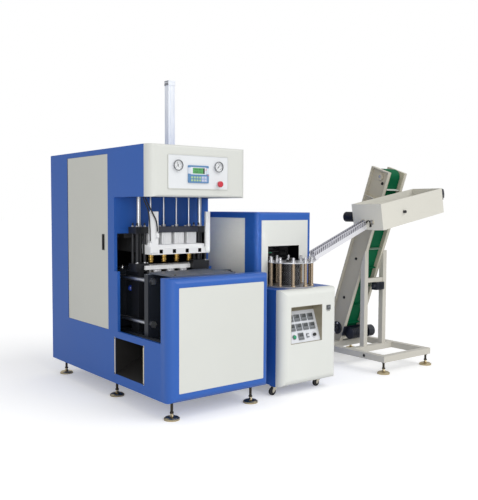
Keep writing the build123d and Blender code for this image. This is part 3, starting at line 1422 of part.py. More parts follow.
# Front castors: a swivelling fork and a wheel on each side
for castor_x, castor_side in zip(castor_xs, ("left", "right")):
    wheel_x = castor_x - castor_trail
    half_width = castor_wheel_width / 2
    cheek_y = half_width + 1
    with BuildPart() as castor_fork:
        crown_x = (castor_x - 22, castor_x + 15)
        crown_y = (front_castor_y - cheek_y - castor_cheek, front_castor_y + cheek_y + castor_cheek)
        slab(crown_x, crown_y, (fork_top - castor_cheek, fork_top))
        for y in (front_castor_y - cheek_y - castor_cheek, front_castor_y + cheek_y):
            with BuildSketch(Plane.XZ.offset(-y)) as cheek:
                with BuildLine():
                    Polyline(
                        (wheel_x - 8, castor_wheel_radius + 4),
                        (wheel_x - 5, castor_wheel_radius - 7),
                        (wheel_x + 5, castor_wheel_radius - 7),
                        (wheel_x + 10, castor_wheel_radius),
                        (crown_x[1], fork_top - castor_cheek),
                        (crown_x[0], fork_top - castor_cheek),
                        (wheel_x - 8, castor_wheel_radius + 4),
                    )
                make_face()
            extrude(cheek.sketch, amount=-castor_cheek)
        axle = facing_front(wheel_x, crown_y[1], castor_wheel_radius)
        round_bar(axle, castor_axle_radius, length(crown_y))
        king_pin = level(castor_x, front_castor_y, fork_top)
        round_bar(king_pin, castor_pin_radius, seat_z[1] + sheet - fork_top)
    finish(castor_fork.part, f"castor_fork_{castor_side}")
    with BuildPart() as castor_wheel:
        rim_y = front_castor_y + half_width
        round_bar(facing_front(wheel_x, rim_y, castor_wheel_radius), castor_wheel_radius, castor_wheel_width)
        fillet(castor_wheel.edges().filter_by(GeomType.CIRCLE), 4)
        bore = castor_axle_radius + running_gap
        round_bar(facing_front(wheel_x, rim_y, castor_wheel_radius), bore, castor_wheel_width, Mode.SUBTRACT)
    finish(castor_wheel.part, f"castor_wheel_{castor_side}")

with BuildPart() as rear_castor_wheels:
    for x in castor_xs:
        hub = facing_right(x - castor_wheel_width / 2, rear_castor_y, castor_wheel_radius)
        round_bar(hub, castor_wheel_radius, castor_wheel_width)
    fillet(rear_castor_wheels.edges().filter_by(GeomType.CIRCLE), 4)
    for x in castor_xs:
        hub = facing_right(x - castor_wheel_width / 2, rear_castor_y, castor_wheel_radius)
        round_bar(hub, castor_axle_radius + running_gap, castor_wheel_width, Mode.SUBTRACT)
finish(rear_castor_wheels.part, "rear_castor_wheels")

# Loader base frame of square tube with cross members under the posts and the elevator
frame_z = (loader_floor, loader_floor + tube)
elevator_x = (left + elevator_left_x, left + elevator_left_x + elevator_width)
post_y = (front + post_setback_y, front + post_setback_y + post_size)
foot_y = front + elevator_foot_y
with BuildPart() as loader_frame:
    slab((loader_left, loader_right), (loader_front, loader_back), frame_z)
    inner_x = (loader_left + tube, loader_right - tube)
    slab(inner_x, (loader_front + tube, loader_back - tube), frame_z, Mode.SUBTRACT)
    for cross_y in (post_y[0] - 3, foot_y + 4):
        slab(inner_x, (cross_y, cross_y + tube), frame_z)
finish(loader_frame.part, "loader_frame")

# Elevator side channels, leaning to the front, joined by three tie rods
lean = radians(elevator_lean)
up = (0, -sin(lean), cos(lean))
side_plane = Plane((elevator_x[0], foot_y, frame_z[1]), x_dir=up, z_dir=(1, 0, 0))
foot_run = elevator_depth * tan(lean)


def channel_side(inset, start, thickness, mode=Mode.ADD):
    """Adds or cuts the leaning side outline of a channel, drawn along its length."""
    with BuildSketch(side_plane.offset(start)) as outline:
        with BuildLine():
            Polyline(
                (inset * tan(lean), -inset),
                (elevator_length - inset, -inset),
                (elevator_length - inset, -elevator_depth + inset),
                (-foot_run + inset * tan(lean), -elevator_depth + inset),
                (inset * tan(lean), -inset),
            )
        make_face()
    extrude(outline.sketch, amount=thickness, mode=mode)


def across(along, depth, start=0.0):
    """A plane facing right, placed by its distance up the elevator and behind its front edge."""
    return side_plane.offset(start) * Plane((along, -depth, 0))


web_x = (channel_flange, elevator_width - channel_flange)
mid_depth = elevator_depth / 2
head_along = elevator_length - pulley_radius
tail_along = pulley_radius + 20
with BuildPart() as elevator_channels:
    channel_side(0, 0, channel_flange + channel_sheet)
    channel_side(0, web_x[1] - channel_sheet, channel_flange + channel_sheet)
    channel_side(channel_sheet, 0, channel_flange, Mode.SUBTRACT)
    channel_side(channel_sheet, web_x[1], channel_flange, Mode.SUBTRACT)
    for share in (0.25, 0.5, 0.75):
        tie = across(tail_along + share * (head_along - tail_along), mid_depth, web_x[0])
        round_bar(tie, 8, length(web_x))
    for along in (tail_along, head_along):
        shaft_bore = across(along, mid_depth, -1)
        round_bar(shaft_bore, pulley_shaft_radius + running_gap, elevator_width + 2, Mode.SUBTRACT)
finish(elevator_channels.part, "elevator_channels")

# Cleated belt around the two pulleys
belt_x = (web_x[0] + channel_sheet + belt_gap, web_x[1] - channel_sheet - belt_gap)
inner_radius = pulley_radius + 0.3
belt_plane = side_plane.offset(belt_x[0])
run_length = head_along - tail_along
with BuildPart() as elevator_belt:
    with BuildSketch(belt_plane) as loop:
        with Locations((middle((tail_along, head_along)), -mid_depth)):
            SlotCenterToCenter(run_length, 2 * (inner_radius + belt_thickness))
            SlotCenterToCenter(run_length, 2 * inner_radius, mode=Mode.SUBTRACT)
    extrude(loop.sketch, amount=length(belt_x))
    with BuildSketch(belt_plane) as cleats:
        for i in range(cleat_count):
            along = tail_along + run_length * (i + 0.5) / cleat_count
            lift = inner_radius + belt_thickness + cleat_height / 2
            for side in (-1, 1):
                with Locations((along, -mid_depth + side * (lift - 0.5))):
                    Rectangle(cleat_thickness, cleat_height - 1)
    extrude(cleats.sketch, amount=length(belt_x))
finish(elevator_belt.part, "elevator_belt")

for pulley_name, along in (("head_pulley", head_along), ("tail_pulley", tail_along)):
    with BuildPart() as pulley:
        round_bar(across(along, mid_depth, belt_x[0]), pulley_radius, length(belt_x))
        shaft_reach = motor_shaft_reach if pulley_name == "tail_pulley" else 10.0
        shaft_length = length(web_x) + 10 + shaft_reach
        round_bar(across(along, mid_depth, web_x[0] - 10), pulley_shaft_radius, shaft_length)
    finish(pulley.part, pulley_name)

# Post frame: two posts that carry the elevator, a crossbar and the junction box under it
post_xs = [loader_left + left_post_inset, loader_left + right_post_inset]
post_spans = [(x, x + post_size) for x in post_xs]
with BuildPart() as post_frame:
    for post in post_spans:
        slab(post, post_y, (frame_z[1], frame_z[1] + 900))
    bar_x = (post_spans[0][1], post_spans[1][0])
    bar_z = (crossbar_bottom, crossbar_bottom + crossbar_height)
    slab(bar_x, (post_y[0] + 4, post_y[1] - 4), bar_z)
    box_x = (bar_x[1] - junction_box_width, bar_x[1])
    box_y = (post_y[0] - 10, post_y[0] - 10 + junction_box_depth)
    slab(box_x, (box_y[0], post_y[1] - 4), (bar_z[0] - junction_box_height, bar_z[0]))
    with BuildSketch(side_plane.offset(-200)) as behind:
        with Locations((elevator_length / 2, -elevator_depth / 2 - 200 + 0.2)):
            Rectangle(elevator_length * 2, elevator_depth + 400)
    extrude(behind.sketch, amount=elevator_width + 400, mode=Mode.SUBTRACT)
finish(post_frame.part, "post_frame")

# Sorting trough: an open tray, tilted along its length, with two rollers along its floor
tilt = radians(trough_tilt)
trough_plane = Plane(
    (left + trough_left_x, front + trough_front_y, trough_bottom_z),
    x_dir=(cos(tilt), 0, sin(tilt)),
    z_dir=(-sin(tilt), 0, cos(tilt)),
)
trough_middle = trough_depth / 2
roller_ys = [trough_middle - roller_radius - roller_gap / 2, trough_middle + roller_radius + roller_gap / 2]
roller_z = roller_radius + 30
outlet_y = trough_outlet_y


def in_trough(piece):
    """Moves a piece drawn from the trough's lower front left corner into its tilted place."""
    return piece.moved(trough_plane.location)


with BuildPart() as sorting_trough:
    slab((0, trough_length), (0, trough_depth), (0, trough_height))
    inside_y = (sheet, trough_depth - sheet)
    slab((sheet, trough_length - sheet), inside_y, (sheet, trough_height + 1), Mode.SUBTRACT)
    for y in roller_ys:
        shaft_hole = facing_right(-1, y, roller_z)
        round_bar(shaft_hole, roller_shaft_radius + running_gap, trough_length + 2, Mode.SUBTRACT)
    outlet = (outlet_y - chute_width / 2 + chute_wall, outlet_y + chute_width / 2 - chute_wall)
    slab((-1, sheet + 1), outlet, (8, 8 + chute_height - chute_wall), Mode.SUBTRACT)
finish(in_trough(sorting_trough.part), "sorting_trough")

for roller_name, roller_y in zip(("roller_front", "roller_back"), roller_ys):
    with BuildPart() as roller:
        round_bar(facing_right(24, roller_y, roller_z), roller_radius, trough_length - 48)
        round_bar(facing_right(-6, roller_y, roller_z), roller_shaft_radius, trough_length + 12)
    finish(in_trough(roller.part), roller_name)

# Drive motors: the elevator's motor across its foot with a chain case, and the rollers' motor
chain_case_x = elevator_width + 1
with BuildPart() as drive_motors:
    with BuildSketch(side_plane) as motor_plate:
        with Locations((motor_along, motor_plate_thickness / 2)):
            Rectangle(motor_plate_height, motor_plate_thickness)
    extrude(motor_plate.sketch, amount=elevator_width)
    motor_end = motor_start + motor_length
    round_bar(across(motor_along, -motor_reach, motor_start), motor_radius - 4, motor_length)
    for i in range(motor_fin_count):
        fin_start = motor_start + motor_length * i / motor_fin_count
        fin = across(motor_along, -motor_reach, fin_start)
        round_bar(fin, motor_radius, motor_length / motor_fin_count / 2)
    round_bar(across(motor_along, -motor_reach, motor_end), pulley_shaft_radius, chain_case_x - motor_end)
    with BuildSketch(side_plane.offset(chain_case_x)) as case_outline:
        for along, depth in ((tail_along, mid_depth), (motor_along, -motor_reach)):
            with Locations((along, -depth)):
                Circle(chain_case_radius)
        make_hull()
        with Locations((tail_along, -mid_depth)):
            Circle(pulley_shaft_radius + running_gap, mode=Mode.SUBTRACT)
    extrude(case_outline.sketch, amount=chain_case_thickness)
    brake = across(motor_along, -motor_reach, chain_case_x + chain_case_thickness)
    round_bar(brake, motor_radius, motor_cap_length)
    with BuildPart(mode=Mode.PRIVATE) as roller_motor:
        motor_x = trough_length * roller_motor_share
        motor_at = facing_front(motor_x, trough_depth + roller_motor_length, roller_motor_height)
        round_bar(motor_at, roller_motor_radius - 4, roller_motor_length)
        for i in range(roller_motor_ribs):
            rib_y = trough_depth + roller_motor_length * (i + 1) / roller_motor_ribs
            rib = facing_front(motor_x, rib_y, roller_motor_height)
            round_bar(rib, roller_motor_radius, roller_motor_length / roller_motor_ribs / 2)
    add(in_trough(roller_motor.part))
finish(drive_motors.part, "drive_motors")

# Gussets that hold the trough on the elevator's front flanges
with BuildPart() as trough_brackets:
    back_y = front + trough_front_y + trough_depth
    for plate_x in (elevator_x[0] + 2, elevator_x[1] - 8):
        trough_low = trough_bottom_z + (plate_x - left - trough_left_x) * tan(tilt)
        gusset_z = (trough_low + 20, trough_low + trough_height - 20)
        with BuildSketch(Plane.YZ.offset(plate_x)) as gusset:
            with BuildLine():
                edge_low = foot_y - (gusset_z[0] - frame_z[1]) * tan(lean)
                edge_high = foot_y - (gusset_z[1] - frame_z[1]) * tan(lean)
                Polyline(
                    (back_y, gusset_z[0]),
                    (edge_low, gusset_z[0]),
                    (edge_high, gusset_z[1]),
                    (back_y, gusset_z[1]),
                    (back_y, gusset_z[0]),
                )
            make_face()
        extrude(gusset.sketch, amount=6)
finish(trough_brackets.part, "trough_brackets")

# Preform chute: a ribbed rail that falls from the trough's outlet to the carousel
trough_end = trough_plane.location * Location((0, outlet_y, 8 - chute_wall))
chute_top_at = trough_end.position
chute_end_at = Vector(left + chute_lower_x, front + chute_lower_y, chute_lower_z)
chute_run = chute_top_at - chute_end_at
side_way = Vector(0, 0, 1).cross(chute_run).normalized()
chute_plane = Plane(chute_end_at, x_dir=chute_run, z_dir=chute_run.cross(side_way))
chute_length = chute_run.length
with BuildPart() as chute_rail:
    half = chute_width / 2
    slab((0, chute_length + 20), (-half, half), (0, chute_height))
    channel_y = (-half + chute_wall, half - chute_wall)
    slab((-1, chute_length + 21), channel_y, (chute_wall, chute_height + 1), Mode.SUBTRACT)
    rib_pitch = chute_length / chute_rib_count
    for i in range(chute_rib_count - 1):
        rib_start = rib_pitch * (i + 0.3)
        for side in (-1, 1):
            rib_y = (half, half + 2) if side > 0 else (-half - 2, -half)
            slab((rib_start, rib_start + rib_pitch * 0.45), rib_y, (chute_height * 0.5, chute_height - 1))
    slab((6, 22), (-half, half + 4), (-6, 0))
with BuildPart() as preform_chute:
    add(chute_rail.part.moved(chute_plane.location))
    with BuildPart(mode=Mode.PRIVATE) as trough_keep_out:
        slab((-0.2, trough_length), (-200, trough_depth + 200), (-200, trough_height + 200))
    add(in_trough(trough_keep_out.part), mode=Mode.SUBTRACT)
    # Arm from the chute's lower end back to the oven's front
    arm_x = (chute_end_at.X + 4, chute_end_at.X + 16)
    arm_z = (chute_end_at.Z - 14, chute_end_at.Z + 4)
    slab(arm_x, (chute_end_at.Y, oven_y - 2), arm_z)
finish(preform_chute.part, "preform_chute")

# Levelling feet of the blow unit and the loader
foot_ys = [0.0, column_y + 96, back - foot_inset_back]
loader_feet = [
    (x, y)
    for x in (loader_left + loader_foot_inset, loader_right - loader_foot_inset)
    for y in (loader_front + loader_foot_inset, loader_back - loader_foot_inset)
]
with BuildPart() as levelling_feet:
    for x in (0.0, right - foot_inset_x):
        for y in foot_ys:
            add(levelling_foot(x, y, base_z, 0))
    for x, y in loader_feet:
        add(levelling_foot(x, y, loader_floor, 0))
finish(levelling_feet.part, "levelling_feet")
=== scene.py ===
import json
import math

import bmesh
import bpy
import numpy as np
from mathutils import Matrix, Vector


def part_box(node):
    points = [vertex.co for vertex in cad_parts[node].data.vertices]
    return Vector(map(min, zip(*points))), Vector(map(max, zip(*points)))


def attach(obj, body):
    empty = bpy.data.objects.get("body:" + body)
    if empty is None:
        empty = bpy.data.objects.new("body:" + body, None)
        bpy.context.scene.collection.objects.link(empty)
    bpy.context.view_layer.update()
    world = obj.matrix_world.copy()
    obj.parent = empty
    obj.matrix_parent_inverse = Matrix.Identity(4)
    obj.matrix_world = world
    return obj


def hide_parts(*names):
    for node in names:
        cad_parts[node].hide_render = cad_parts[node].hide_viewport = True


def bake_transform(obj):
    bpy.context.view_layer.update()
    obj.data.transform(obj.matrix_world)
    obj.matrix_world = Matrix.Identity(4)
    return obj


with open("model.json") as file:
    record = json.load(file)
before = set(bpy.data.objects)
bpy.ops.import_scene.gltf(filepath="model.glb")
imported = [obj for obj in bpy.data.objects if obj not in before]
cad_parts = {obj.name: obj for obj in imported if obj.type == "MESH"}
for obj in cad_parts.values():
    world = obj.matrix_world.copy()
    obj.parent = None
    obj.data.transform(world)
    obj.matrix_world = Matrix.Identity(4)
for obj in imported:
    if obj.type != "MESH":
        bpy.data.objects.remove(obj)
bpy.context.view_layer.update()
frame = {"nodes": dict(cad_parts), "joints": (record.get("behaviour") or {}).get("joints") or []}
nodes = frame["nodes"]
print("packed model loaded,", len(nodes), "nodes")


# The camera

cameraSettings = {
    "eye": (-2.0725, -3.2129, 1.1828),  # metres, in the machine's own frame
    "yaw": 38.4,  # degrees to the right of straight ahead
    "pitch": 3.47,  # degrees downwards
    "roll": 0.27,
    "lens": 49.82,  # mm on a 36 mm frame
}


def buildCamera():
    camera = bpy.data.objects.new("camera", bpy.data.cameras.new("camera"))
    bpy.context.scene.collection.objects.link(camera)
    camera.data.lens = cameraSettings["lens"]
    camera.data.clip_end = 300
    turn = Matrix.Rotation(-math.radians(cameraSettings["yaw"]), 4, "Z")
    tip = Matrix.Rotation(math.radians(90 - cameraSettings["pitch"]), 4, "X")
    bank = Matrix.Rotation(math.radians(cameraSettings["roll"]), 4, "Z")
    camera.matrix_world = Matrix.Translation(cameraSettings["eye"]) @ turn @ tip @ bank
    bpy.context.scene.camera = camera


buildCamera()
print("camera placed")


# Shader node helpers and shared groups

# Kinds of socket by how many numbers one holds
socketKinds = {1: "NodeSocketFloat", 3: "NodeSocketVector", 4: "NodeSocketColor"}


def newGroup(name, inputs, outputs):
    group = bpy.data.node_groups.new(name, "ShaderNodeTree")
    for label, value in inputs.items():
        socket = group.interface.new_socket(label, in_out="INPUT", socket_type=socketKinds[np.size(value)])
        socket.default_value = value
    for label in outputs:
        kind = socketKinds[4 if label == "Colour" else 1]
        group.interface.new_socket(label, in_out="OUTPUT", socket_type=kind)
    return group, group.nodes.new("NodeGroupInput"), group.nodes.new("NodeGroupOutput")


# A socket takes another one's output or a plain value, and a colour gets its alpha here
def feed(tree, socket, value):
    if isinstance(value, bpy.types.NodeSocket):
        tree.links.new(value, socket)
    else:
        socket.default_value = (*value, 1.0) if socket.type == "RGBA" else value


def feedNode(tree, node, **values):
    for label, value in values.items():
        feed(tree, node.inputs[label.replace("_", " ")], value)
    return node


def groupNode(tree, group, **values):
    node = tree.nodes.new("ShaderNodeGroup")
    node.node_tree = group
    return feedNode(tree, node, **values)


def mathNode(tree, operation, *values):
    node = tree.nodes.new("ShaderNodeMath")
    node.operation = operation
    for socket, value in zip(node.inputs, values):
        feed(tree, socket, value)
    return node.outputs[0]


def vectorNode(tree, operation, *values):
    node = tree.nodes.new("ShaderNodeVectorMath")
    node.operation = operation
    for socket, value in zip(node.inputs, values):
        feed(tree, socket, value)
    return node.outputs["Value" if operation == "DOT_PRODUCT" else "Vector"]


def product(tree, *masks):
    whole = masks[0]
    for mask in masks[1:]:
        whole = mathNode(tree, "MULTIPLY", whole, mask)
    return whole


def objectPlace(tree):
    return tree.nodes.new("ShaderNodeTexCoord").outputs["Object"]


def noiseNode(tree, vector, scale, detail=3.0):
    node = feedNode(tree, tree.nodes.new("ShaderNodeTexNoise"), Vector=vector, Scale=scale, Detail=detail)
    return node.outputs["Fac"]


def mixed(tree, mask, first, second, kind="RGBA"):
    blend = tree.nodes.new("ShaderNodeMix")
    blend.data_type = kind
    return feedNode(tree, blend, Factor=mask, A=first, B=second).outputs["Result"]


def toned(tree, colour, brightness):
    tone = feedNode(tree, tree.nodes.new("ShaderNodeHueSaturation"), Color=colour, Value=brightness)
    return tone.outputs["Color"]


# Paint: a slow drift in tone and gloss, a fine orange peel as height
def buildCoatGroup():
    group, enter, leave = newGroup(
        "sprayedCoat",
        {"Colour": (0.5, 0.5, 0.5, 1), "Base Roughness": 0.35, "Gloss Drift": 0.06, "Tone Drift": 0.05},
        ["Colour", "Roughness", "Height"],
    )
    given = enter.outputs
    place = objectPlace(group)
    drift = mathNode(group, "SUBTRACT", noiseNode(group, place, 3.5), 0.5)
    colour = toned(group, given["Colour"], mathNode(group, "MULTIPLY_ADD", drift, given["Tone Drift"], 1.0))
    roughness = mathNode(group, "MULTIPLY_ADD", drift, given["Gloss Drift"], given["Base Roughness"])
    feedNode(group, leave, Colour=colour, Roughness=roughness, Height=noiseNode(group, place, 420.0, 1.0))
    return group


# Machined metal: streaks along one axis as roughness and height
def buildGrainGroup():
    group, enter, leave = newGroup(
        "machinedGrain",
        {"Stretch": (40.0, 900.0, 900.0), "Base Roughness": 0.3, "Streak": 0.12},
        ["Roughness", "Height", "Tone"],
    )
    given = enter.outputs
    place = objectPlace(group)
    streak = noiseNode(group, vectorNode(group, "MULTIPLY", place, given["Stretch"]), 1.0, 2.0)
    centred = mathNode(group, "SUBTRACT", streak, 0.5)
    roughness = mathNode(group, "MULTIPLY_ADD", centred, given["Streak"], given["Base Roughness"])
    cloud = mathNode(group, "SUBTRACT", noiseNode(group, place, 9.0), 0.5)
    tone = mathNode(group, "MULTIPLY_ADD", cloud, 0.16, 1.0)
    feedNode(group, leave, Roughness=roughness, Height=streak, Tone=tone)
    return group


# Mask of 1 on the side of a plane that its direction points to
def buildPlaneGroup():
    group, enter, leave = newGroup("beyondPlane", {"Point": (0, 0, 0), "Direction": (0, 0, 1)}, ["Mask", "Depth"])
    offset = vectorNode(group, "SUBTRACT", objectPlace(group), enter.outputs["Point"])
    depth = vectorNode(group, "DOT_PRODUCT", offset, enter.outputs["Direction"])
    feedNode(group, leave, Mask=mathNode(group, "GREATER_THAN", depth, 0.0), Depth=depth)
    return group


# Mask of 1 on the faces of a sheet casing that look towards its own middle
def buildInnerGroup():
    group, enter, leave = newGroup("innerFace", {"Middle": (0, 0, 0)}, ["Mask"])
    texture = group.nodes.new("ShaderNodeTexCoord")
    offset = vectorNode(group, "SUBTRACT", texture.outputs["Object"], enter.outputs["Middle"])
    outward = vectorNode(group, "DOT_PRODUCT", offset, texture.outputs["Normal"])
    feedNode(group, leave, Mask=mathNode(group, "LESS_THAN", outward, 0.0))
    return group


coatGroup = buildCoatGroup()
grainGroup = buildGrainGroup()
planeGroup = buildPlaneGroup()
innerGroup = buildInnerGroup()

# A zone is a product of half spaces, each an axis, a limit, and +1 or -1 for the side that counts
axes = {"x": Vector((1, 0, 0)), "y": Vector((0, 1, 0)), "z": Vector((0, 0, 1))}


def between(axis, low, high):
    return [(axis, low, 1), (axis, high, -1)]


def zoneMask(tree, sides):
    masks = []
    for axis, limit, sign in sides:
        plane = groupNode(tree, planeGroup, Point=axes[axis] * limit, Direction=axes[axis] * sign)
        masks.append(plane.outputs["Mask"])
    return product(tree, *masks)


def depthBeyond(tree, point, direction):
    return groupNode(tree, planeGroup, Point=point, Direction=direction).outputs["Depth"]


def startMaterial(name):
    material = bpy.data.materials.new(name)
    material.use_nodes = True
    tree = material.node_tree
    return material, tree, tree.nodes["Principled BSDF"]


reliefDepth = {"paint": 0.0004, "grain": 0.0003, "stamped": 0.001}  # in metres, at full strength


def addBump(tree, shader, height, strength, kind):
    bump = tree.nodes.new("ShaderNodeBump")
    feedNode(tree, bump, Height=height, Strength=strength, Distance=reliefDepth[kind])
    feedNode(tree, shader, Normal=bump.outputs["Normal"])


def layCoat(tree, shader, colour, relief, **values):
    coat = groupNode(tree, coatGroup, Colour=colour, **values).outputs
    feedNode(tree, shader, Base_Color=coat["Colour"], Roughness=coat["Roughness"])
    addBump(tree, shader, coat["Height"], relief, "paint")


# Sprayed sheet metal; the faces towards a casing's middle are painted near-black as shade, and the finish's zones
# get their own colours
def paintedSteel(name, colour, roughness, shell=None, insideShadeZone=None, sheen=0.35, coat=0.0):
    material, tree, shader = startMaterial(name)
    feedNode(tree, shader, Specular_IOR_Level=sheen, Coat_Weight=coat, Coat_Roughness=0.1)
    if shell:
        mask = groupNode(tree, innerGroup, Middle=np.mean(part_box(shell), axis=0)).outputs["Mask"]
        if insideShadeZone:
            mask = product(tree, mask, zoneMask(tree, insideShadeZone))
        colour = mixed(tree, mask, colour, paints["inside"])
    for sides, zoneColour in zonesOf.get(name, []):
        colour = mixed(tree, zoneMask(tree, sides), colour, zoneColour)
    layCoat(tree, shader, colour, 0.05, Base_Roughness=roughness)
    return material


# Machined or blackened metal, with zones too
def machinedMetal(name, colour, roughness, streak=0.14, stretch=(40, 900, 900), metallic=1.0, relief=0.06):
    material, tree, shader = startMaterial(name)
    for sides, zoneColour, zoneMetal in zonesOf.get(name, []):
        mask = zoneMask(tree, sides)
        colour = mixed(tree, mask, colour, zoneColour)
        metallic = mixed(tree, mask, metallic, zoneMetal, "FLOAT")
    grain = groupNode(tree, grainGroup, Stretch=stretch, Base_Roughness=roughness, Streak=streak).outputs
    colour = toned(tree, colour, grain["Tone"])
    feedNode(tree, shader, Base_Color=colour, Metallic=metallic, Roughness=grain["Roughness"])
    addBump(tree, shader, grain["Height"], relief, "grain")
    return material


# Moulded plastic, rubber or glass with a fine grain
def mouldedPlastic(name, colour, roughness, glow=0.0, alpha=1.0, coat=0.0, grain=0.05):
    material, tree, shader = startMaterial(name)
    place = objectPlace(tree)
    cloud = mathNode(tree, "SUBTRACT", noiseNode(tree, place, 60.0), 0.5)
    cloudy = toned(tree, colour, mathNode(tree, "MULTIPLY_ADD", cloud, 0.12, 1.0))
    gloss = mathNode(tree, "MULTIPLY_ADD", cloud, 0.08, roughness)
    feedNode(tree, shader, Base_Color=cloudy, Roughness=gloss, Coat_Weight=coat, Alpha=alpha)
    feedNode(tree, shader, Emission_Color=colour, Emission_Strength=glow)
    addBump(tree, shader, noiseNode(tree, place, 900.0, 1.0), grain, "grain")
    return material


# Directions and places that several pieces share, in metres

leftward, rightward, frontward, backward, upward = (-1, 0, 0), (1, 0, 0), (0, -1, 0), (0, 1, 0), (0, 0, 1)


def unit(vector):
    vector = np.asarray(vector, float)
    return vector / np.linalg.norm(vector)


elevator = {
    "foot": np.array((0.0, 0.557, 0.13)),
    "up": np.array((0, -0.33216, 0.94322)),
    "back": np.array((0, 0.94322, 0.33216)),
}
pulleys = {j["name"].split("_")[0]: j["pos_m"] for j in frame["joints"] if j["name"].endswith("pulley_spin")}
troughTilt = math.radians(10.2)
trough = {
    "corner": np.array((1.621, -0.134, 1.036)),
    "along": np.array((math.cos(troughTilt), 0, math.sin(troughTilt))),
    "rise": np.array((-math.sin(troughTilt), 0, math.cos(troughTilt))),
}
slope = {
    "middle": np.array((0.983, -0.004, 0.447)),
    "up": np.array((0, 0.34306, 0.93932)),
    "out": np.array((0, -0.93932, 0.34306)),
}
chute = {"top": np.array((1.6203, 0.036, 1.0399)), "foot": np.array((1.16, 0.066, 0.842))}
chute["along"] = unit(chute["foot"] - chute["top"])
chute["side"] = unit(np.cross(upward, chute["along"]))
chute["rise"] = np.cross(chute["along"], chute["side"])
carouselMiddle = (1.004, 0.121, 0)

paints = {
    "blue": (0.02, 0.106, 0.43),
    # painted shade: the near-black that the casings' inner faces get
    "inside": (0.006, 0.006, 0.008),
    "slot": (0.004, 0.004, 0.005),
    # painted shade: the channel webs' cream, darker and browner than the flanges
    "channelWebShade": (0.52, 0.48, 0.375),
    "moduleGrey": (0.19, 0.205, 0.22),
}
doorHandle = between("y", 0.6603, 0.6897) + between("z", 0.9183, 1.0177) + [("x", -0.05, -1)]
# painted shade: the insides of the barrel grooves turn near-black
barrelGrooveShade = between("z", 0.9074, 0.9317) + between("y", 0.3268, 0.367) + between("x", 0.1, 0.45)
displayKeys = [("y", 0.1136, -1)]  # they stand out further than the film
# the lower cabinet's inner faces get the painted shade only in this front bay
frontBay = between("x", -0.04, 0.608) + [("z", 0.79, -1)]

# Zones of a finish with a colour of their own; on metal each also says how metallic it is
zonesOf = {
    "creamDoor": [(doorHandle, paints["slot"])],
    # painted shade on the channel webs, between the flanges
    "loaderCream": [(between("x", 1.968, 2.127), paints["channelWebShade"])],
    "postCream": [(between("x", 2.0535, 2.1437) + between("z", 0.555, 0.6178), (0.01, 0.012, 0.02))],
    "displayFilm": [
        (between("z", 1.38, 1.4155), (0.6, 0.66, 0.75)),
        (between("z", 1.334, 1.368) + between("x", 0.282, 0.324), (0.3, 0.4, 0.62)),
        (displayKeys, (0.4, 0.56, 0.3)),
        (displayKeys + [("x", 0.281, 1)], (0.56, 0.58, 0.7)),
    ],
    "standSteel": [
        ([("z", 1.0665, 1)], (0.6, 0.6, 0.62), 0.9),
        (between("z", 0.8455, 0.853) + between("y", 0.405, 0.4255), (0.7, 0.7, 0.72), 0.9),
    ],
    "beamSteel": [([("z", 1.0665, 1)], (0.48, 0.48, 0.5), 0.9)],
    "mouldSteel": [([("z", 0.7872, 1)], (0.82, 0.82, 0.84), 0.7)],
    "platenSteel": [([("z", 0.7962, 1)], (0.085, 0.1, 0.135), 0.0)],
    # painted shade in the barrel grooves
    "aluminium": [(barrelGrooveShade, paints["slot"], 0.0)],
    "cylinderAluminium": [([("x", 0.259, -1)], (0.28, 0.29, 0.32), 0.5)],
    "footBrass": [([("z", 0.036, 1)], (0.045, 0.036, 0.026), 0.6)],
    "bronzeSpindle": [([("z", 0.8335, 1)], (0.66, 0.66, 0.68), 0.85)],
}

# Finishes: each row is the CAD nodes that wear it, a colour, a roughness and what else it needs
paintedFinishes = {
    "blueSheet": ("front_cover", paints["blue"], 0.42, {"coat": 0.25}),
    "blueRearCabinet": ("rear_cabinet", paints["blue"], 0.42, {"shell": "rear_cabinet"}),
    "blueLowerCabinet": ("lower_cabinet", paints["blue"], 0.42, {"shell": "lower_cabinet", "insideShadeZone": frontBay}),
    "blueHousing": ("upper_housing", paints["blue"], 0.42, {"shell": "upper_housing"}),
    "blueOven": ("oven_cabinet", paints["blue"], 0.42, {"shell": "oven_cabinet"}),
    "blueBody": ("heater_body", paints["blue"], 0.42, {"shell": "heater_body"}),
    "creamDoor": ("side_door", (0.59, 0.595, 0.55), 0.42, {}),
    # brighter than the other creams: painted light, lifting the oven door out of the blow unit's shade
    "ovenDoorLitCream": ("oven_door", (0.86, 0.85, 0.76), 0.42, {}),
    "creamHeater": ("heater_cover oven_panel", (0.72, 0.735, 0.7), 0.42, {}),
    "creamWhite": ("control_fascia front_panel", (0.65, 0.662, 0.625), 0.42, {}),
    "loaderCream": ("elevator_channels trough_brackets", (0.64, 0.61, 0.52), 0.48, {}),
    # the head bearings wear the webs' painted shade
    "webShadeCream": ("", paints["channelWebShade"], 0.48, {}),
    "troughCream": ("sorting_trough", (0.7, 0.685, 0.615), 0.48, {}),
    "postCream": ("post_frame loader_frame", (0.6, 0.578, 0.515), 0.48, {}),
    "instrumentWhite": ("instrument_panel", (0.735, 0.755, 0.775), 0.34, {}),
    "motorNavy": ("drive_motors", (0.01, 0.013, 0.024), 0.36, {"sheen": 0.5}),
    "darkSheet": ("bottle_chute", (0.02, 0.019, 0.018), 0.34, {"sheen": 0.5}),
    "stripBeige": ("", (0.66, 0.59, 0.43), 0.5, {}),
    "displayFilm": ("operator_display", (0.11, 0.24, 0.44), 0.34, {}),
}
evenGrain = (300, 300, 300)
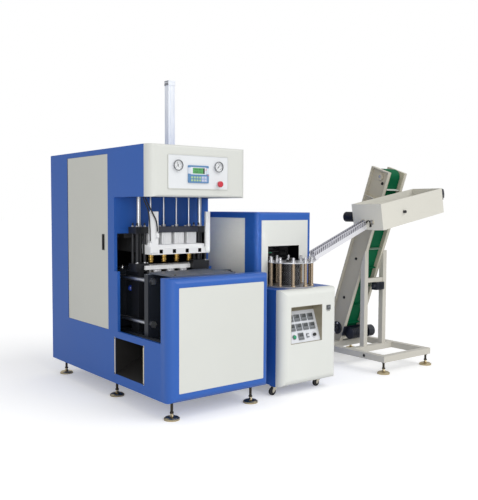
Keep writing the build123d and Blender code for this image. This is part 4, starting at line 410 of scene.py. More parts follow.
metalFinishes = {
    "blackSteel": ("crosshead moving_platen rear_mould machine_bed", (0.014, 0.018, 0.026), 0.36, {"metallic": 0.2}),
    "standSteel": ("column_stands", (0.013, 0.014, 0.018), 0.34, {"metallic": 0.2}),
    "beamSteel": ("head_beam", (0.046, 0.05, 0.07), 0.4, {"metallic": 0.2}),
    "mouldSteel": ("front_mould", (0.02, 0.025, 0.034), 0.34, {"metallic": 0.3}),
    "platenSteel": ("fixed_platens", (0.016, 0.02, 0.03), 0.36, {"metallic": 0.2}),
    "greySteel": ("electrical_panel", (0.15, 0.15, 0.16), 0.4, {"metallic": 0.4}),
    "aluminium": ("nozzle_plate head_brackets preform_tray", (0.9, 0.905, 0.91), 0.42, {"metallic": 0.15}),
    "rollerSteel": (
        "roller_front roller_back head_pulley tail_pulley", (0.62, 0.62, 0.63), 0.28, {"stretch": (60, 700, 700)}
    ),
    "cylinderAluminium": (
        "stretch_cylinder", (0.86, 0.89, 0.94), 0.36, {"stretch": (900, 900, 40), "metallic": 0.25}
    ),
    "chrome": (
        "guide_columns stretch_rods stretch_piston tie_bars pressure_gauges", (0.6, 0.61, 0.63), 0.3,
        {"streak": 0.04, "stretch": (900, 900, 60), "relief": 0.01},
    ),
    "rimSteel": ("", (0.2, 0.205, 0.215), 0.22, {"streak": 0.05, "stretch": evenGrain}),
    "brass": ("blow_nozzles", (0.56, 0.36, 0.1), 0.26, {"streak": 0.08}),
    "footBrass": ("levelling_feet", (0.6, 0.505, 0.32), 0.28, {"streak": 0.1, "stretch": (500, 500, 500)}),
    "castorZinc": ("castor_fork_left castor_fork_right", (0.62, 0.58, 0.48), 0.3, {"streak": 0.1}),
    "boltSteel": ("", (0.7, 0.7, 0.71), 0.26, {"streak": 0.08, "stretch": evenGrain}),
    "boltBlack": ("", (0.03, 0.028, 0.026), 0.38, {"streak": 0.08, "stretch": evenGrain, "metallic": 0.5}),
    "bronzeSpindle": (
        "spindles", (0.42, 0.33, 0.235), 0.26, {"streak": 0.1, "stretch": (600, 600, 40), "metallic": 0.75}
    ),
}
plasticFinishes = {
    "rubber": ("castor_wheel_left castor_wheel_right rear_castor_wheels air_hoses", (0.012, 0.012, 0.013), 0.6, {}),
    "stopRed": ("stop_button", (0.56, 0.022, 0.045), 0.26, {"coat": 0.5}),
    "buttonGreen": ("start_button", (0.008, 0.3, 0.13), 0.3, {"coat": 0.4}),
    "blackPlastic": ("speed_knob", (0.012, 0.012, 0.014), 0.38, {}),
    "modulePlastic": ("", paints["moduleGrey"], 0.42, {}),
    "moduleWindow": ("", (0.055, 0.062, 0.068), 0.22, {"coat": 0.4}),
    "keyWhite": ("", (0.62, 0.63, 0.67), 0.45, {}),
    "screenWhite": ("", (0.7, 0.73, 0.78), 0.34, {}),
    "screenGreen": ("", (0.085, 0.33, 0.105), 0.26, {"glow": 0.12, "coat": 0.4}),
    "dialWhite": ("", (0.78, 0.79, 0.8), 0.4, {}),
    "inkBlack": ("", (0.012, 0.012, 0.014), 0.5, {}),
    "inkGrey": ("", (0.1, 0.105, 0.11), 0.5, {}),
    "digitRed": ("", (0.62, 0.03, 0.02), 0.4, {"glow": 0.35}),
    "indicatorGreen": ("", (0.01, 0.23, 0.11), 0.34, {"glow": 0.35}),
    "digitGreen": ("", (0.02, 0.05, 0.02), 0.4, {}),
    # the lamp bank is near-black as painted shade of the oven's dark inside
    "lampBankShade": ("lamp_bank", (0.016, 0.016, 0.018), 0.2, {"coat": 0.3}),
    "knobBlue": ("", (0.01, 0.035, 0.26), 0.22, {"coat": 0.5}),
    "dialGlass": ("", (0.9, 0.93, 0.95), 0.04, {"alpha": 0.1, "grain": 0.0}),
}
finishes = {}


def wear(finishName, material, nodeNames):
    finishes[finishName] = material
    for nodeName in nodeNames.split():
        mesh = nodes[nodeName].data
        mesh.materials.clear()
        mesh.materials.append(material)


finishTables = {paintedSteel: paintedFinishes, machinedMetal: metalFinishes, mouldedPlastic: plasticFinishes}
for maker, table in finishTables.items():
    for finishName, (nodeNames, colour, roughness, more) in table.items():
        wear(finishName, maker(finishName, colour, roughness, **more), nodeNames)

beltLook = {
    "green": (0.0, 0.118, 0.046),
    # painted highlight on the cleats near the head pulley
    "cleat": (0.72, 0.74, 0.7),
    "cleatFrom": 0.0604,  # from the belt's middle plane
    "highlightFade": (5.0, -3.2),  # times the height along the belt, and added
}


# Belt: a point further from the belt's middle plane than its surface is cleat, and the cleats get a painted
# highlight that grows towards the head
def beltFinish(name):
    material, tree, shader = startMaterial(name)
    along = (Vector(pulleys["head"]) - Vector(pulleys["tail"])).normalized()
    reach = depthBeyond(tree, pulleys["tail"], Vector((0, along.z, -along.y)))
    height = depthBeyond(tree, pulleys["tail"], along)
    cleat = mathNode(tree, "GREATER_THAN", mathNode(tree, "ABSOLUTE", reach), beltLook["cleatFrom"])
    cleatHighlight = mathNode(tree, "MULTIPLY_ADD", height, *beltLook["highlightFade"])
    cleatHighlight.node.use_clamp = True
    colour = mixed(tree, product(tree, cleat, cleatHighlight), beltLook["green"], beltLook["cleat"])
    feedNode(tree, shader, Specular_IOR_Level=0.12)
    layCoat(tree, shader, colour, 0.1, Base_Roughness=0.56, Tone_Drift=0.22)
    return material


chuteLook = {
    "base": (0.82, 0.82, 0.86),
    "upper": (0.62, 0.62, 0.67),
    "slot": (0.17, 0.17, 0.2),
    "slotRise": (0.03, 0.057),  # from the chute's floor
    "slotPitch": 0.0185,
    "slotGap": 0.52,  # share of the pitch that stays solid
    "slant": 0.55,
}


# Chute: slanting slots along the upper half of its side, plain below
def chuteFinish(name):
    material, tree, shader = startMaterial(name)
    run = depthBeyond(tree, chute["top"], chute["along"])
    rise = depthBeyond(tree, chute["top"], chute["rise"])
    slanted = mathNode(tree, "MULTIPLY_ADD", rise, chuteLook["slant"], run)
    wave = mathNode(tree, "FRACT", mathNode(tree, "DIVIDE", slanted, chuteLook["slotPitch"]))
    slot = mathNode(tree, "GREATER_THAN", wave, chuteLook["slotGap"])
    upper = mathNode(tree, "GREATER_THAN", rise, chuteLook["slotRise"][0])
    mask = product(tree, slot, upper, mathNode(tree, "LESS_THAN", rise, chuteLook["slotRise"][1]))
    plain = mixed(tree, upper, chuteLook["base"], chuteLook["upper"])
    grain = groupNode(tree, grainGroup, Base_Roughness=0.38).outputs["Roughness"]
    colour = mixed(tree, mask, plain, chuteLook["slot"])
    feedNode(tree, shader, Base_Color=colour, Roughness=grain, Metallic=0.3)
    addBump(tree, shader, mask, 0.4, "stamped")
    return material


drumLook = {
    "black": (0.01, 0.01, 0.012),
    "link": (0.15, 0.15, 0.155),
    "disc": (0.72, 0.73, 0.77),
    "plate": (0.33, 0.335, 0.365),
    "discFrom": 0.8295,
    "plateTo": 0.6815,
    "columns": 22.0,  # chain links round the drum
    "rows": 420.0,  # radians of their wave to a metre
    "linkFrom": 0.12,
}


# Carousel: bright top disc, black drum wrapped in chain links, dark base plate
def carouselFinish(name):
    material, tree, shader = startMaterial(name)
    split = tree.nodes.new("ShaderNodeSeparateXYZ")
    tree.links.new(vectorNode(tree, "SUBTRACT", objectPlace(tree), carouselMiddle), split.inputs[0])
    angle = mathNode(tree, "ARCTAN2", split.outputs["Y"], split.outputs["X"])
    column = mathNode(tree, "SINE", mathNode(tree, "MULTIPLY", angle, drumLook["columns"]))
    row = mathNode(tree, "SINE", mathNode(tree, "MULTIPLY", split.outputs["Z"], drumLook["rows"]))
    link = mathNode(tree, "GREATER_THAN", product(tree, column, row), drumLook["linkFrom"])
    disc = zoneMask(tree, [("z", drumLook["discFrom"], 1)])
    colour = mixed(tree, disc, mixed(tree, link, drumLook["black"], drumLook["link"]), drumLook["disc"])
    colour = mixed(tree, zoneMask(tree, [("z", drumLook["plateTo"], -1)]), colour, drumLook["plate"])
    metallic = mixed(tree, disc, 0.2, 0.7, "FLOAT")
    grain = groupNode(tree, grainGroup, Base_Roughness=0.3).outputs["Roughness"]
    feedNode(tree, shader, Base_Color=colour, Metallic=metallic, Roughness=grain)
    addBump(tree, shader, link, 0.25, "stamped")
    return material


recessLook = {
    # painted shade: the recess walls' colour, darker and browner than the cover around them
    "wall": (0.3, 0.27, 0.195),
    "plate": (0.73, 0.75, 0.79),
    "plateDepth": 0.001,
    "plateTop": 0.082,
    "moduleDepth": 0.0092,
    "moduleTop": 0.112,
    "moduleSides": (0.8492, 1.1168),
}


# Control recess: walls painted brown as shade, white sloping plate, grey modules by how far they stand out
def recessFinish(name):
    material, tree, shader = startMaterial(name)
    depth = depthBeyond(tree, slope["middle"], slope["out"])
    height = depthBeyond(tree, slope["middle"], slope["up"])
    flush = mathNode(tree, "LESS_THAN", mathNode(tree, "ABSOLUTE", depth), recessLook["plateDepth"])
    plate = product(tree, flush, mathNode(tree, "LESS_THAN", height, recessLook["plateTop"]))
    module = product(
        tree,
        mathNode(tree, "GREATER_THAN", depth, recessLook["plateDepth"]),
        mathNode(tree, "LESS_THAN", depth, recessLook["moduleDepth"]),
        zoneMask(tree, between("x", *recessLook["moduleSides"])),
        mathNode(tree, "LESS_THAN", mathNode(tree, "ABSOLUTE", height), recessLook["moduleTop"]),
    )
    colour = mixed(tree, plate, recessLook["wall"], recessLook["plate"])
    colour = mixed(tree, module, colour, paints["moduleGrey"])
    coat = groupNode(tree, coatGroup).outputs
    feedNode(tree, shader, Base_Color=colour, Roughness=coat["Roughness"])
    addBump(tree, shader, coat["Height"], 0.05, "paint")
    return material


for finishName, maker, nodeName in (
    ("cleatedBelt", beltFinish, "elevator_belt"),
    ("slottedChute", chuteFinish, "preform_chute"),
    ("chainDrum", carouselFinish, "carousel"),
    ("recessSheet", recessFinish, "control_recess"),
):
    wear(finishName, maker(finishName), nodeName)
print("finishes made and put on the CAD nodes,", len(finishes))


# Surfaces, each given as its points and faces

# Rings of equal length joined by quads, open with end caps or closed on themselves
def ringSurface(rings, closed=False):
    rings = np.asarray(rings, float)
    count, size = rings.shape[:2]
    index = np.arange(count * size).reshape(count, size)
    low, high = (index, np.roll(index, -1, 0)) if closed else (index[:-1], index[1:])
    quads = np.stack([low, np.roll(low, -1, 1), np.roll(high, -1, 1), high], -1).reshape(-1, 4).tolist()
    if not closed:
        quads += [index[0][::-1].tolist(), index[-1].tolist()]
    return rings.reshape(-1, 3), quads


# A profile of (radius, height) pairs turned round an axis: origin + height * axis
# + radius * (cos(angle) * across + sin(angle) * ahead); a closed profile leaves a bore
def turnedSurface(profile, origin, axis, sides=32, closed=False):
    axis = unit(axis)
    across = unit(np.cross(upward if abs(axis[2]) < 0.9 else rightward, axis))
    ahead = np.cross(axis, across)
    angle = np.linspace(0, 2 * np.pi, sides, endpoint=False)
    spokes = np.cos(angle)[:, None] * across + np.sin(angle)[:, None] * ahead
    profile = np.asarray(profile, float)
    rings = np.asarray(origin) + profile[:, 1, None, None] * axis + profile[:, 0, None, None] * spokes
    return ringSurface(rings, closed)


# A rounded rectangle: each corner's centre plus a quarter turn of its radius
def roundedOutline(width, height, radius, perCorner=6):
    angle = (np.arange(4)[:, None] * np.pi / 2 + np.linspace(0, np.pi / 2, perCorner)).ravel()
    signs = np.repeat([[1, 1], [-1, 1], [-1, -1], [1, -1]], perCorner, 0)
    centre = signs * (width / 2 - radius, height / 2 - radius)
    return centre + radius * np.stack([np.cos(angle), np.sin(angle)], 1)


# Rounded outlines as rings: each (inset, rise) pair shrinks the outline and lifts it off the back
def steppedSurface(centre, right, up, width, height, radius, steps, closed=False):
    right, up = unit(right), unit(up)
    rings = []
    for inset, rise in steps:
        outline = roundedOutline(width - 2 * inset, height - 2 * inset, max(radius - inset, 0.0001))
        rings.append(centre + outline[:, :1] * right + outline[:, 1:] * up + rise * np.cross(right, up))
    return ringSurface(rings, closed)


# A rounded plate that rises from its back, with a rounded front edge; the pieces' dictionaries
# give a plate as width, height, thickness, corner radius and bevel, and a bolt as radius and height
def plateSurface(centre, right, up, width, height, thickness, radius, bevel=0.0005):
    turn = np.linspace(0, np.pi / 2, 4)
    inset = np.concatenate([[0.0], bevel * (1 - np.cos(turn))])
    level = np.concatenate([[0.0], thickness - bevel + bevel * np.sin(turn)])
    return steppedSurface(centre, right, up, width, height, radius, zip(inset, level))


def frontPlate(centre, *sizes):
    return plateSurface(centre, rightward, upward, *sizes)


# A rounded frame: outer and inner outlines joined over the front and the back
def frameSurface(centre, right, up, width, height, band, thickness, radius, bevel=0.0008):
    outer = [(0, 0), (0, thickness - bevel), (bevel, thickness)]
    inner = [(band - bevel, thickness), (band, thickness - bevel), (band, 0)]
    return steppedSurface(centre, right, up, width, height, radius, outer + inner, closed=True)


# A section of (first, second) pairs swept along a path square to a side: path + first * side + second * rise
def sweptSurface(path, side, section):
    path, side = np.asarray(path, float), unit(side)
    tangent = np.gradient(path, axis=0)
    rise = np.cross(tangent / np.linalg.norm(tangent, axis=1)[:, None], side)
    return ringSurface(path[:, None] + section[:, :1] * side + section[:, 1:] * rise[:, None])


def strapSurface(path, side, width, thickness):
    corners = np.array([(-0.5, -0.5), (0.5, -0.5), (0.5, 0.5), (-0.5, 0.5)])
    return sweptSurface(path, side, corners * (width, thickness))


def tubeSurface(path, radius, side, sides=16):
    angle = np.linspace(0, 2 * np.pi, sides, endpoint=False)
    return sweptSurface(path, side, radius * np.stack([np.cos(angle), np.sin(angle)], 1))


def joined(*surfaces):
    starts = np.cumsum([0] + [len(points) for points, _ in surfaces[:-1]])
    faces = [[i + int(start) for i in face] for start, (_, own) in zip(starts, surfaces) for face in own]
    return np.concatenate([points for points, _ in surfaces]), faces


# A hexagon head with a chamfered top on a round washer
def boltSurface(origin, axis, radius, height):
    washer = [(radius * 1.25, 0), (radius * 1.3, 0.0004), (radius * 1.3, 0.001), (radius * 1.2, 0.0014)]
    head = [(radius, 0.0014), (radius, height - 0.001), (radius * 0.8, height)]
    return joined(turnedSurface(washer, origin, axis), turnedSurface(head, origin, axis, 6))


def turnedAt(places, profile, axis, sides):
    return [turnedSurface(profile, place, axis, sides) for place in places]


def boltsAt(places, axis, radius, height):
    return [boltSurface(place, axis, radius, height) for place in places]


# The points and faces of the mesh that Blender makes of a curve
def curveSurface(curve):
    holder = bpy.data.objects.new("holder", curve)
    mesh = bpy.data.meshes.new_from_object(holder)
    points = np.empty(len(mesh.vertices) * 3)
    mesh.vertices.foreach_get("co", points)
    faces = [list(polygon.vertices) for polygon in mesh.polygons]
    bpy.data.objects.remove(holder)
    bpy.data.meshes.remove(mesh)
    return points.reshape(-1, 3), faces


# Raised lettering from Blender's own font, laid on a plate
def textSurface(text, size, centre, right=rightward, up=upward):
    curve = bpy.data.curves.new("lettering", "FONT")
    curve.body = text
    curve.size = size
    curve.align_x = curve.align_y = "CENTER"
    curve.extrude = 0.0003
    curve.resolution_u = 3
    points, faces = curveSurface(curve)
    right, up = unit(right), unit(up)
    placed = points[:, :1] * right + points[:, 1:2] * up + points[:, 2:] * np.cross(right, up)
    return np.asarray(centre) + placed, faces


sharpTurn = math.radians(35.0)  # a sharper turn between faces shows as an edge


# A piece from one surface or from a list of them
def addPiece(name, surface, finish, body="frame"):
    points, faces = joined(*surface) if isinstance(surface, list) else surface
    mesh = bpy.data.meshes.new(name)
    mesh.from_pydata(points.tolist(), [], faces)
    shell = bmesh.new()
    shell.from_mesh(mesh)
    bmesh.ops.recalc_face_normals(shell, faces=shell.faces)
    shell.to_mesh(mesh)
    shell.free()
    mesh.polygons.foreach_set("use_smooth", np.ones(len(mesh.polygons), bool))
    mesh.set_sharp_from_angle(angle=sharpTurn)
    mesh.materials.append(finishes[finish])
    piece = bpy.data.objects.new(name, mesh)
    bpy.context.scene.collection.objects.link(piece)
    if body:
        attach(piece, body)
    return piece


# Air hoses: the routes of the source's tubes, from under the housing down to the sealing head

hoses = {
    "radius": 0.004,
    "plane": 0.311,  # both hang in this plane of y, so a route is pairs of x and z
    "bendStart": 1.232,
    "bendEnd": 1.05,
    "routes": {
        "airHoseLeft": [(0.004, 1.245), (0.004, 1.2329), (0.0515, 1.1509), (0.0515, 0.9735)],
        "airHoseRight": [(0.02, 1.245), (0.02, 1.2329), (0.0715, 1.1451), (0.1015, 1.0931), (0.1015, 1.0295)],
    },
    "grommet": [(0.0042, -0.0035), (0.0062, -0.0035), (0.007, -0.0025), (0.007, 0.0), (0.0042, 0.0)],
    "fitting": [(0.007, 0.0002), (0.007, 0.005), (0.0058, 0.0062), (0.0058, 0.0105), (0.0046, 0.0115)],
}


def routePoints(controls):
    curve = bpy.data.curves.new("route", "CURVE")
    curve.dimensions = "3D"
    spline = curve.splines.new("NURBS")
    spline.points.add(len(controls) - 1)
    for point, place in zip(spline.points, controls):
        point.co = (*place, 1.0)
    spline.order_u = 3
    spline.use_endpoint_u = True
    spline.resolution_u = 16
    return curveSurface(curve)[0]


for hoseName, run in hoses["routes"].items():
    path = routePoints([(x, hoses["plane"], z) for x, z in run])
    hose = addPiece(hoseName, tubeSurface(path, hoses["radius"], backward), "rubber", body=None)
    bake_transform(hose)
    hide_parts("air_hoses")
    top, foot = (run[0][0], hoses["plane"], run[0][1]), (run[-1][0], hoses["plane"], run[-1][1])
    addPiece(hoseName + "Grommet", turnedSurface(hoses["grommet"], top, upward), "rubber")
    fitting = turnedSurface(hoses["fitting"], foot, upward, 24)
    addPiece(hoseName + "Fitting", fitting, "boltSteel", "sealing_head")
print("air hoses laid")


# Pressure gauges: dial, scale, numbers, needle, rim and glass

gauges = {
    "places": [(0.119, 1.426, -18.0), (0.407, 1.426, 38.0)],  # x, z and the needle's angle in degrees
    "dialY": 0.1158,
    "dial": [(0.0276, 0), (0.0276, 0.0004)],
    "sweep": 270.0,
    "tickCount": 41,
    "tickReach": 0.0262,
    "longTick": 0.0062,  # every fifth one
    "shortTick": 0.0032,
    "tickSection": (0.0003, 0.0002, 0.0001),
    "tickWidth": 0.0009,
    "numbers": ["0", "4", "8", "12", "16"],
    "numberReach": 0.0168,
    "numberSize": 0.0072,
    "hub": [(0.004, 0), (0.004, 0.0018), (0.003, 0.0026)],
    "needle": [(-0.0018, -0.01), (0.0018, -0.01), (0.0021, 0), (0.0004, 0.0225), (-0.0004, 0.0225), (-0.0021, 0)],
    "needleLevels": (0.0012, 0.0019),
    "rimY": 0.105,
    "rim": [
        (0.0281, -0.0068), (0.0312, -0.006), (0.0318, -0.0042),
        (0.031, -0.0024), (0.0288, -0.002), (0.0276, -0.0046),
    ],
    "glassY": 0.1112,
    "glass": [(0.0276, 0.0), (0.027, 0.0006), (0.018, 0.0013), (0.006, 0.0016)],
}


def gaugeRay(degrees):
    return np.array((math.sin(math.radians(degrees)), 0.0, math.cos(math.radians(degrees))))


def buildGauge(index, x, z, reading):
    front = np.array(frontward)
    centre = np.array((x, gauges["dialY"], z))
    face = centre + front * gauges["dial"][1][1]
    addPiece(f"gaugeDial{index}", turnedSurface(gauges["dial"], centre, front, 48), "dialWhite")
    half = gauges["sweep"] / 2
    scale = []
    for i, degrees in enumerate(np.linspace(-half, half, gauges["tickCount"])):
        ray = gaugeRay(degrees)
        length = gauges["shortTick" if i % 5 else "longTick"]
        middle = face + ray * (gauges["tickReach"] - length / 2)
        size = (gauges["tickWidth"], length, *gauges["tickSection"])
        scale.append(plateSurface(middle, np.cross(front, ray), ray, *size))
    for degrees, text in zip(np.linspace(-half, half, len(gauges["numbers"])), gauges["numbers"]):
        middle = face + gaugeRay(degrees) * gauges["numberReach"] + front * 0.0001
        scale.append(textSurface(text, gauges["numberSize"], middle))
    addPiece(f"gaugeScale{index}", scale, "inkBlack")
    ray = gaugeRay(reading)
    outline = np.array(gauges["needle"])
    blade = centre + outline[:, :1] * np.cross(front, ray) + outline[:, 1:] * ray
    pointer = ringSurface([blade + front * level for level in gauges["needleLevels"]])
    addPiece(f"gaugeNeedle{index}", [turnedSurface(gauges["hub"], face, front, 24), pointer], "inkBlack")
    rim = turnedSurface(gauges["rim"], (x, gauges["rimY"], z), front, 64, closed=True)
    addPiece(f"gaugeRim{index}", rim, "rimSteel")
    glass = turnedSurface(gauges["glass"], (x, gauges["glassY"], z), front, 48)
    addPiece(f"gaugeGlass{index}", glass, "dialGlass")


for gaugeIndex, gaugePlace in enumerate(gauges["places"]):
    buildGauge(gaugeIndex, *gaugePlace)
print("pressure gauges built")


# Operator display: screen, its dark edge, figures, lights, and the trim round the whole panel

display = {
    "displayField": ((0.262, 0.1169, 1.398), (0.1146, 0.0436), "screenWhite"),
    "displayScreen": ((0.259, 0.1164, 1.398), (0.074, 0.033), "screenGreen"),
    "displayShade": ((0.301, 0.1164, 1.398), (0.0105, 0.033), "inkBlack"),
    "plateSection": (0.0005, 0.0012, 0.0002),
    "figures": {"0125  08.5": (0.259, 0.1158, 1.4055), "0048  12.0": (0.259, 0.1158, 1.3905)},
    "figureSize": 0.0115,
    "lights": [(0.3155, 0.1164, 1.4055), (0.329, 0.1138, 1.3735)],
    "lens": [(0.003, 0.0), (0.003, 0.0008), (0.0024, 0.0018), (0.001, 0.0024)],
    "trimMiddle": (0.268, 0.1214, 1.39),
    "trimSize": (0.431, 0.199, 0.0042, 0.0036, 0.009),  # width, height, band, thickness and corner radius
}
for plateName in ("displayField", "displayScreen", "displayShade"):
    place, size, finish = display[plateName]
    addPiece(plateName, frontPlate(place, *size, *display["plateSection"]), finish)
figures = [textSurface(text, display["figureSize"], place) for text, place in display["figures"].items()]
addPiece("displayFigures", figures, "digitGreen")
addPiece("displayLights", turnedAt(display["lights"], display["lens"], frontward, 20), "digitRed")
trim = frameSurface(display["trimMiddle"], rightward, upward, *display["trimSize"])
addPiece("panelTrim", trim, "creamWhite")
print("operator display built")


# Clamp: a locking ball on the rear mould, cap nuts on the platen, table bolts, stud ends on the stands

clampSet = {
    "ball": (0.042, 0.5255, 0.688),
    "ballRadius": 0.0185,
    "stemRadius": 0.005,
    "mouldSide": 0.078,
    "capNuts": [(0.0643, 0.673, 0.797), (0.504, 0.673, 0.797)],
    "capNut": [
        (0.013, 0), (0.013, 0.0015), (0.0095, 0.0018), (0.0095, 0.011),
        (0.0088, 0.017), (0.006, 0.0215), (0.0015, 0.0235),
    ],
    "tableBolts": [(x, y, 0.807) for x in (0.03, 0.426) for y in (0.25, 0.01)],
    "tableBolt": (0.006, 0.0045),
    "studs": [(x, y, 0) for x in (0.033, 0.085, 0.483, 0.535) for y in (0.432, 0.484)],
    "stud": [(0.005, 1.0738), (0.005, 1.088), (0.0042, 1.0895), (0.0015, 1.09)],
}


# A ball on a stem: half turns of the ball's radius from the stem's end to its tip
def ballHandle(centre, radius, stemRadius, stemLength):
    turn = np.linspace(math.asin(stemRadius / radius), np.pi * 0.97, 18)
    ball = np.stack([radius * np.sin(turn), -radius * np.cos(turn)], 1)
    collar = stemRadius * 1.6
    stem = [(collar, -stemLength), (collar, -stemLength + 0.004), (stemRadius, -stemLength + 0.005)]
    return turnedSurface(np.concatenate([stem, ball]), centre, leftward)


ballStem = clampSet["mouldSide"] - clampSet["ball"][0]
ball = ballHandle(clampSet["ball"], clampSet["ballRadius"], clampSet["stemRadius"], ballStem)
addPiece("lockingBall", ball, "knobBlue", "clamp_carriage")
capNuts = turnedAt(clampSet["capNuts"], clampSet["capNut"], upward, 24)
addPiece("platenCapNuts", capNuts, "boltSteel", "clamp_carriage")
addPiece("tableBolts", boltsAt(clampSet["tableBolts"], upward, *clampSet["tableBolt"]), "boltBlack")
addPiece("standStuds", turnedAt(clampSet["studs"], clampSet["stud"], upward, 20), "boltBlack")
print("clamp details built")


# Bottle opening: edge strips with their screws

opening = {
    "wall": -0.066,
    "columns": (0.5335, 0.1925),
    "middle": 0.2795,
    "stripSize": (0.0085, 0.229, 0.0022, 0.001),
    "screwRise": 0.108,
    "screw": (0.0032, 0.0034),
}
strips = [
    plateSurface((opening["wall"], y, opening["middle"]), frontward, upward, *opening["stripSize"])
    for y in opening["columns"]
]
screwPlaces = [
    (opening["wall"] - opening["stripSize"][2], y, opening["middle"] + side * opening["screwRise"])
    for y in opening["columns"]
    for side in (-1, 1)
]
addPiece("openingStrips", strips, "stripBeige")
addPiece("openingScrews", boltsAt(screwPlaces, leftward, *opening["screw"]), "boltBlack")
print("bottle opening dressed")


# Control recess: module fronts with windows, figures and keys, the rocker, and the knob's ring

recess = {
    "columns": (-0.087, -0.029, 0.029, 0.087),
    "rows": (0.035, -0.025),
    "lastRow": -0.085,
    "front": (0.005, 0.045, 0.045, 0.0022, 0.003),  # level, width, height, thickness and corner radius
    "window": (0.0072, 0.035, 0.02, 0.0005),
    "windowRise": 0.0085,
    "key": (0.0072, 0.008, 0.006, 0.0009),
    "keyDrop": 0.015,
    "keyColumns": (-0.013, 0, 0.013),
    "figures": ["182", "176", "171", "168", "174", "169", "165", "158", "420"],
    "figureSize": 0.011,
    "figureLevel": 0.0079,
    "rocker": (0.008, 0.017, 0.012, 0.0025),
    "knobRing": [(0.0135, 0), (0.0215, 0), (0.0215, 0.0008), (0.0205, 0.0012), (0.0135, 0.0012)],
    "knobMark": (0.0018, 0.0075, 0.0004, 0.0004, 0.0001),
    "ringLevel": 0.0001,
    "markFrom": (0.005, 0.0274),  # from the knob's middle up the slope, and out of it
}


def onSlope(x, y, out):
    return slope["middle"] + np.array((x, 0, 0)) + y * slope["up"] + out * slope["out"]


def slopePlate(x, y, level, width, height, thickness, radius=0.001):
    return plateSurface(onSlope(x, y, level), rightward, slope["up"], width, height, thickness, radius, 0.0003)


_, secondColumn, rockerColumn, knobColumn = recess["columns"]
modulePlaces = [(x, y) for y in recess["rows"] for x in recess["columns"]] + [(secondColumn, recess["lastRow"])]
fronts = [slopePlate(x, y, *recess["front"]) for x, y in modulePlaces]
windows = [slopePlate(x, y + recess["windowRise"], *recess["window"]) for x, y in modulePlaces]
keys = [
    slopePlate(x + step, y - recess["keyDrop"], *recess["key"])
    for x, y in modulePlaces
    for step in recess["keyColumns"]
]
numbers = []
for (x, y), text in zip(modulePlaces, recess["figures"]):
    place = onSlope(x, y + recess["windowRise"], recess["figureLevel"])
    numbers.append(textSurface(text, recess["figureSize"], place, up=slope["up"]))
addPiece("moduleFronts", fronts, "modulePlastic")
addPiece("moduleWindows", windows, "moduleWindow")
addPiece("moduleKeys", keys, "inkGrey")
addPiece("moduleFigures", numbers, "inkGrey")
addPiece("rockerSwitch", slopePlate(rockerColumn, recess["lastRow"], *recess["rocker"]), "keyWhite")
knobFoot = onSlope(knobColumn, recess["lastRow"], recess["ringLevel"])
addPiece("knobRing", turnedSurface(recess["knobRing"], knobFoot, slope["out"], 48, closed=True), "keyWhite")
markStep, markLevel = recess["markFrom"]
markPlace = onSlope(knobColumn, recess["lastRow"] + markStep, markLevel)
knobMark = plateSurface(markPlace, rightward, slope["up"], *recess["knobMark"])
addPiece("knobMark", knobMark, "keyWhite", "speed_knob")
print("control recess dressed")


# Counter on the heater's cover, beside the recess

counter = {
    "middle": np.array((1.175, -0.058, 0.539)),
    "case": (0.035, 0.032, 0.0045, 0.002),
    "window": (0.026, 0.015, 0.0006, 0.001, 0.0002),
    "windowFrom": (0, -0.0045, 0.002),
    "figuresFrom": (0, -0.0053, 0.002),
    "figureSize": 0.0078,
    "sill": (0.03, 0.0025, 0.0012, 0.0008, 0.0003),
    "sillFrom": (0, 0, -0.0225),
}
addPiece("counterCase", frontPlate(counter["middle"], *counter["case"]), "inkGrey")
counterWindow = frontPlate(counter["middle"] + counter["windowFrom"], *counter["window"])
addPiece("counterWindow", counterWindow, "moduleWindow")
counterText = textSurface("01245", counter["figureSize"], counter["middle"] + counter["figuresFrom"])
addPiece("counterFigures", counterText, "keyWhite")
addPiece("counterSill", frontPlate(counter["middle"] + counter["sillFrom"], *counter["sill"]), "inkGrey")
print("counter built")


# Carousel: holder cups on the spindles, collars at their feet, a cap on the middle, the oven's lamp behind it

carousel = {
    "circle": 0.138,
    "count": 10,
    "start": 18.0,  # degrees to the first spindle
    "cup": [(0.0125, 0.8342), (0.0132, 0.835), (0.0132, 0.842), (0.0115, 0.844), (0.0115, 0.8452)],
    "collar": [(0.0165, 0.6812), (0.0165, 0.684), (0.014, 0.686), (0.0125, 0.69), (0.0112, 0.6905)],
    "hub": [(0.03, 0.8342), (0.03, 0.84), (0.024, 0.844), (0.012, 0.846), (0.012, 0.856), (0.007, 0.858)],
    "lamp": (0.995, 0.327, 0.888),
    "lampSize": (0.024, 0.016, 0.012, 0.003, 0.001),
}
angles = np.radians(carousel["start"] + np.arange(carousel["count"]) * 360.0 / carousel["count"])
spokes = np.stack([np.cos(angles), np.sin(angles), angles * 0], 1)
spindlePlaces = carouselMiddle + carousel["circle"] * spokes
addPiece("holderCups", turnedAt(spindlePlaces, carousel["cup"], upward, 28), "boltSteel", "carousel")
addPiece("spindleCollars", turnedAt(spindlePlaces, carousel["collar"], upward, 28), "bronzeSpindle", "carousel")
addPiece("carouselHub", turnedSurface(carousel["hub"], carouselMiddle, upward, 40), "boltBlack", "carousel")
addPiece("ovenIndicator", frontPlate(carousel["lamp"], *carousel["lampSize"]), "indicatorGreen")
print("carousel dressed")


# Chute ends: a hook and clamp at the trough, a stop at the carousel

hook = {"x": 1.608, "top": 1.099, "reach": 0.0175, "root": (-0.03, 1.056), "section": (0.016, 0.005)}
chuteEnds = {
    "clampFrom": (0.03, -0.028, 0.026),  # from the chute's top: along, aside and up
    "clamp": (0.048, 0.056, 0.005, 0.004),
    "bolt": (0.0062, 0.006),
    "boltSteps": (0.013, 0.014),
    "stopFrom": (-0.012, -0.0235, 0.03),
    "stop": (0.024, 0.064, 0.004, 0.003),
}


def onChute(end, along, side, rise):
    return chute[end] + along * chute["along"] + side * chute["side"] + rise * chute["rise"]


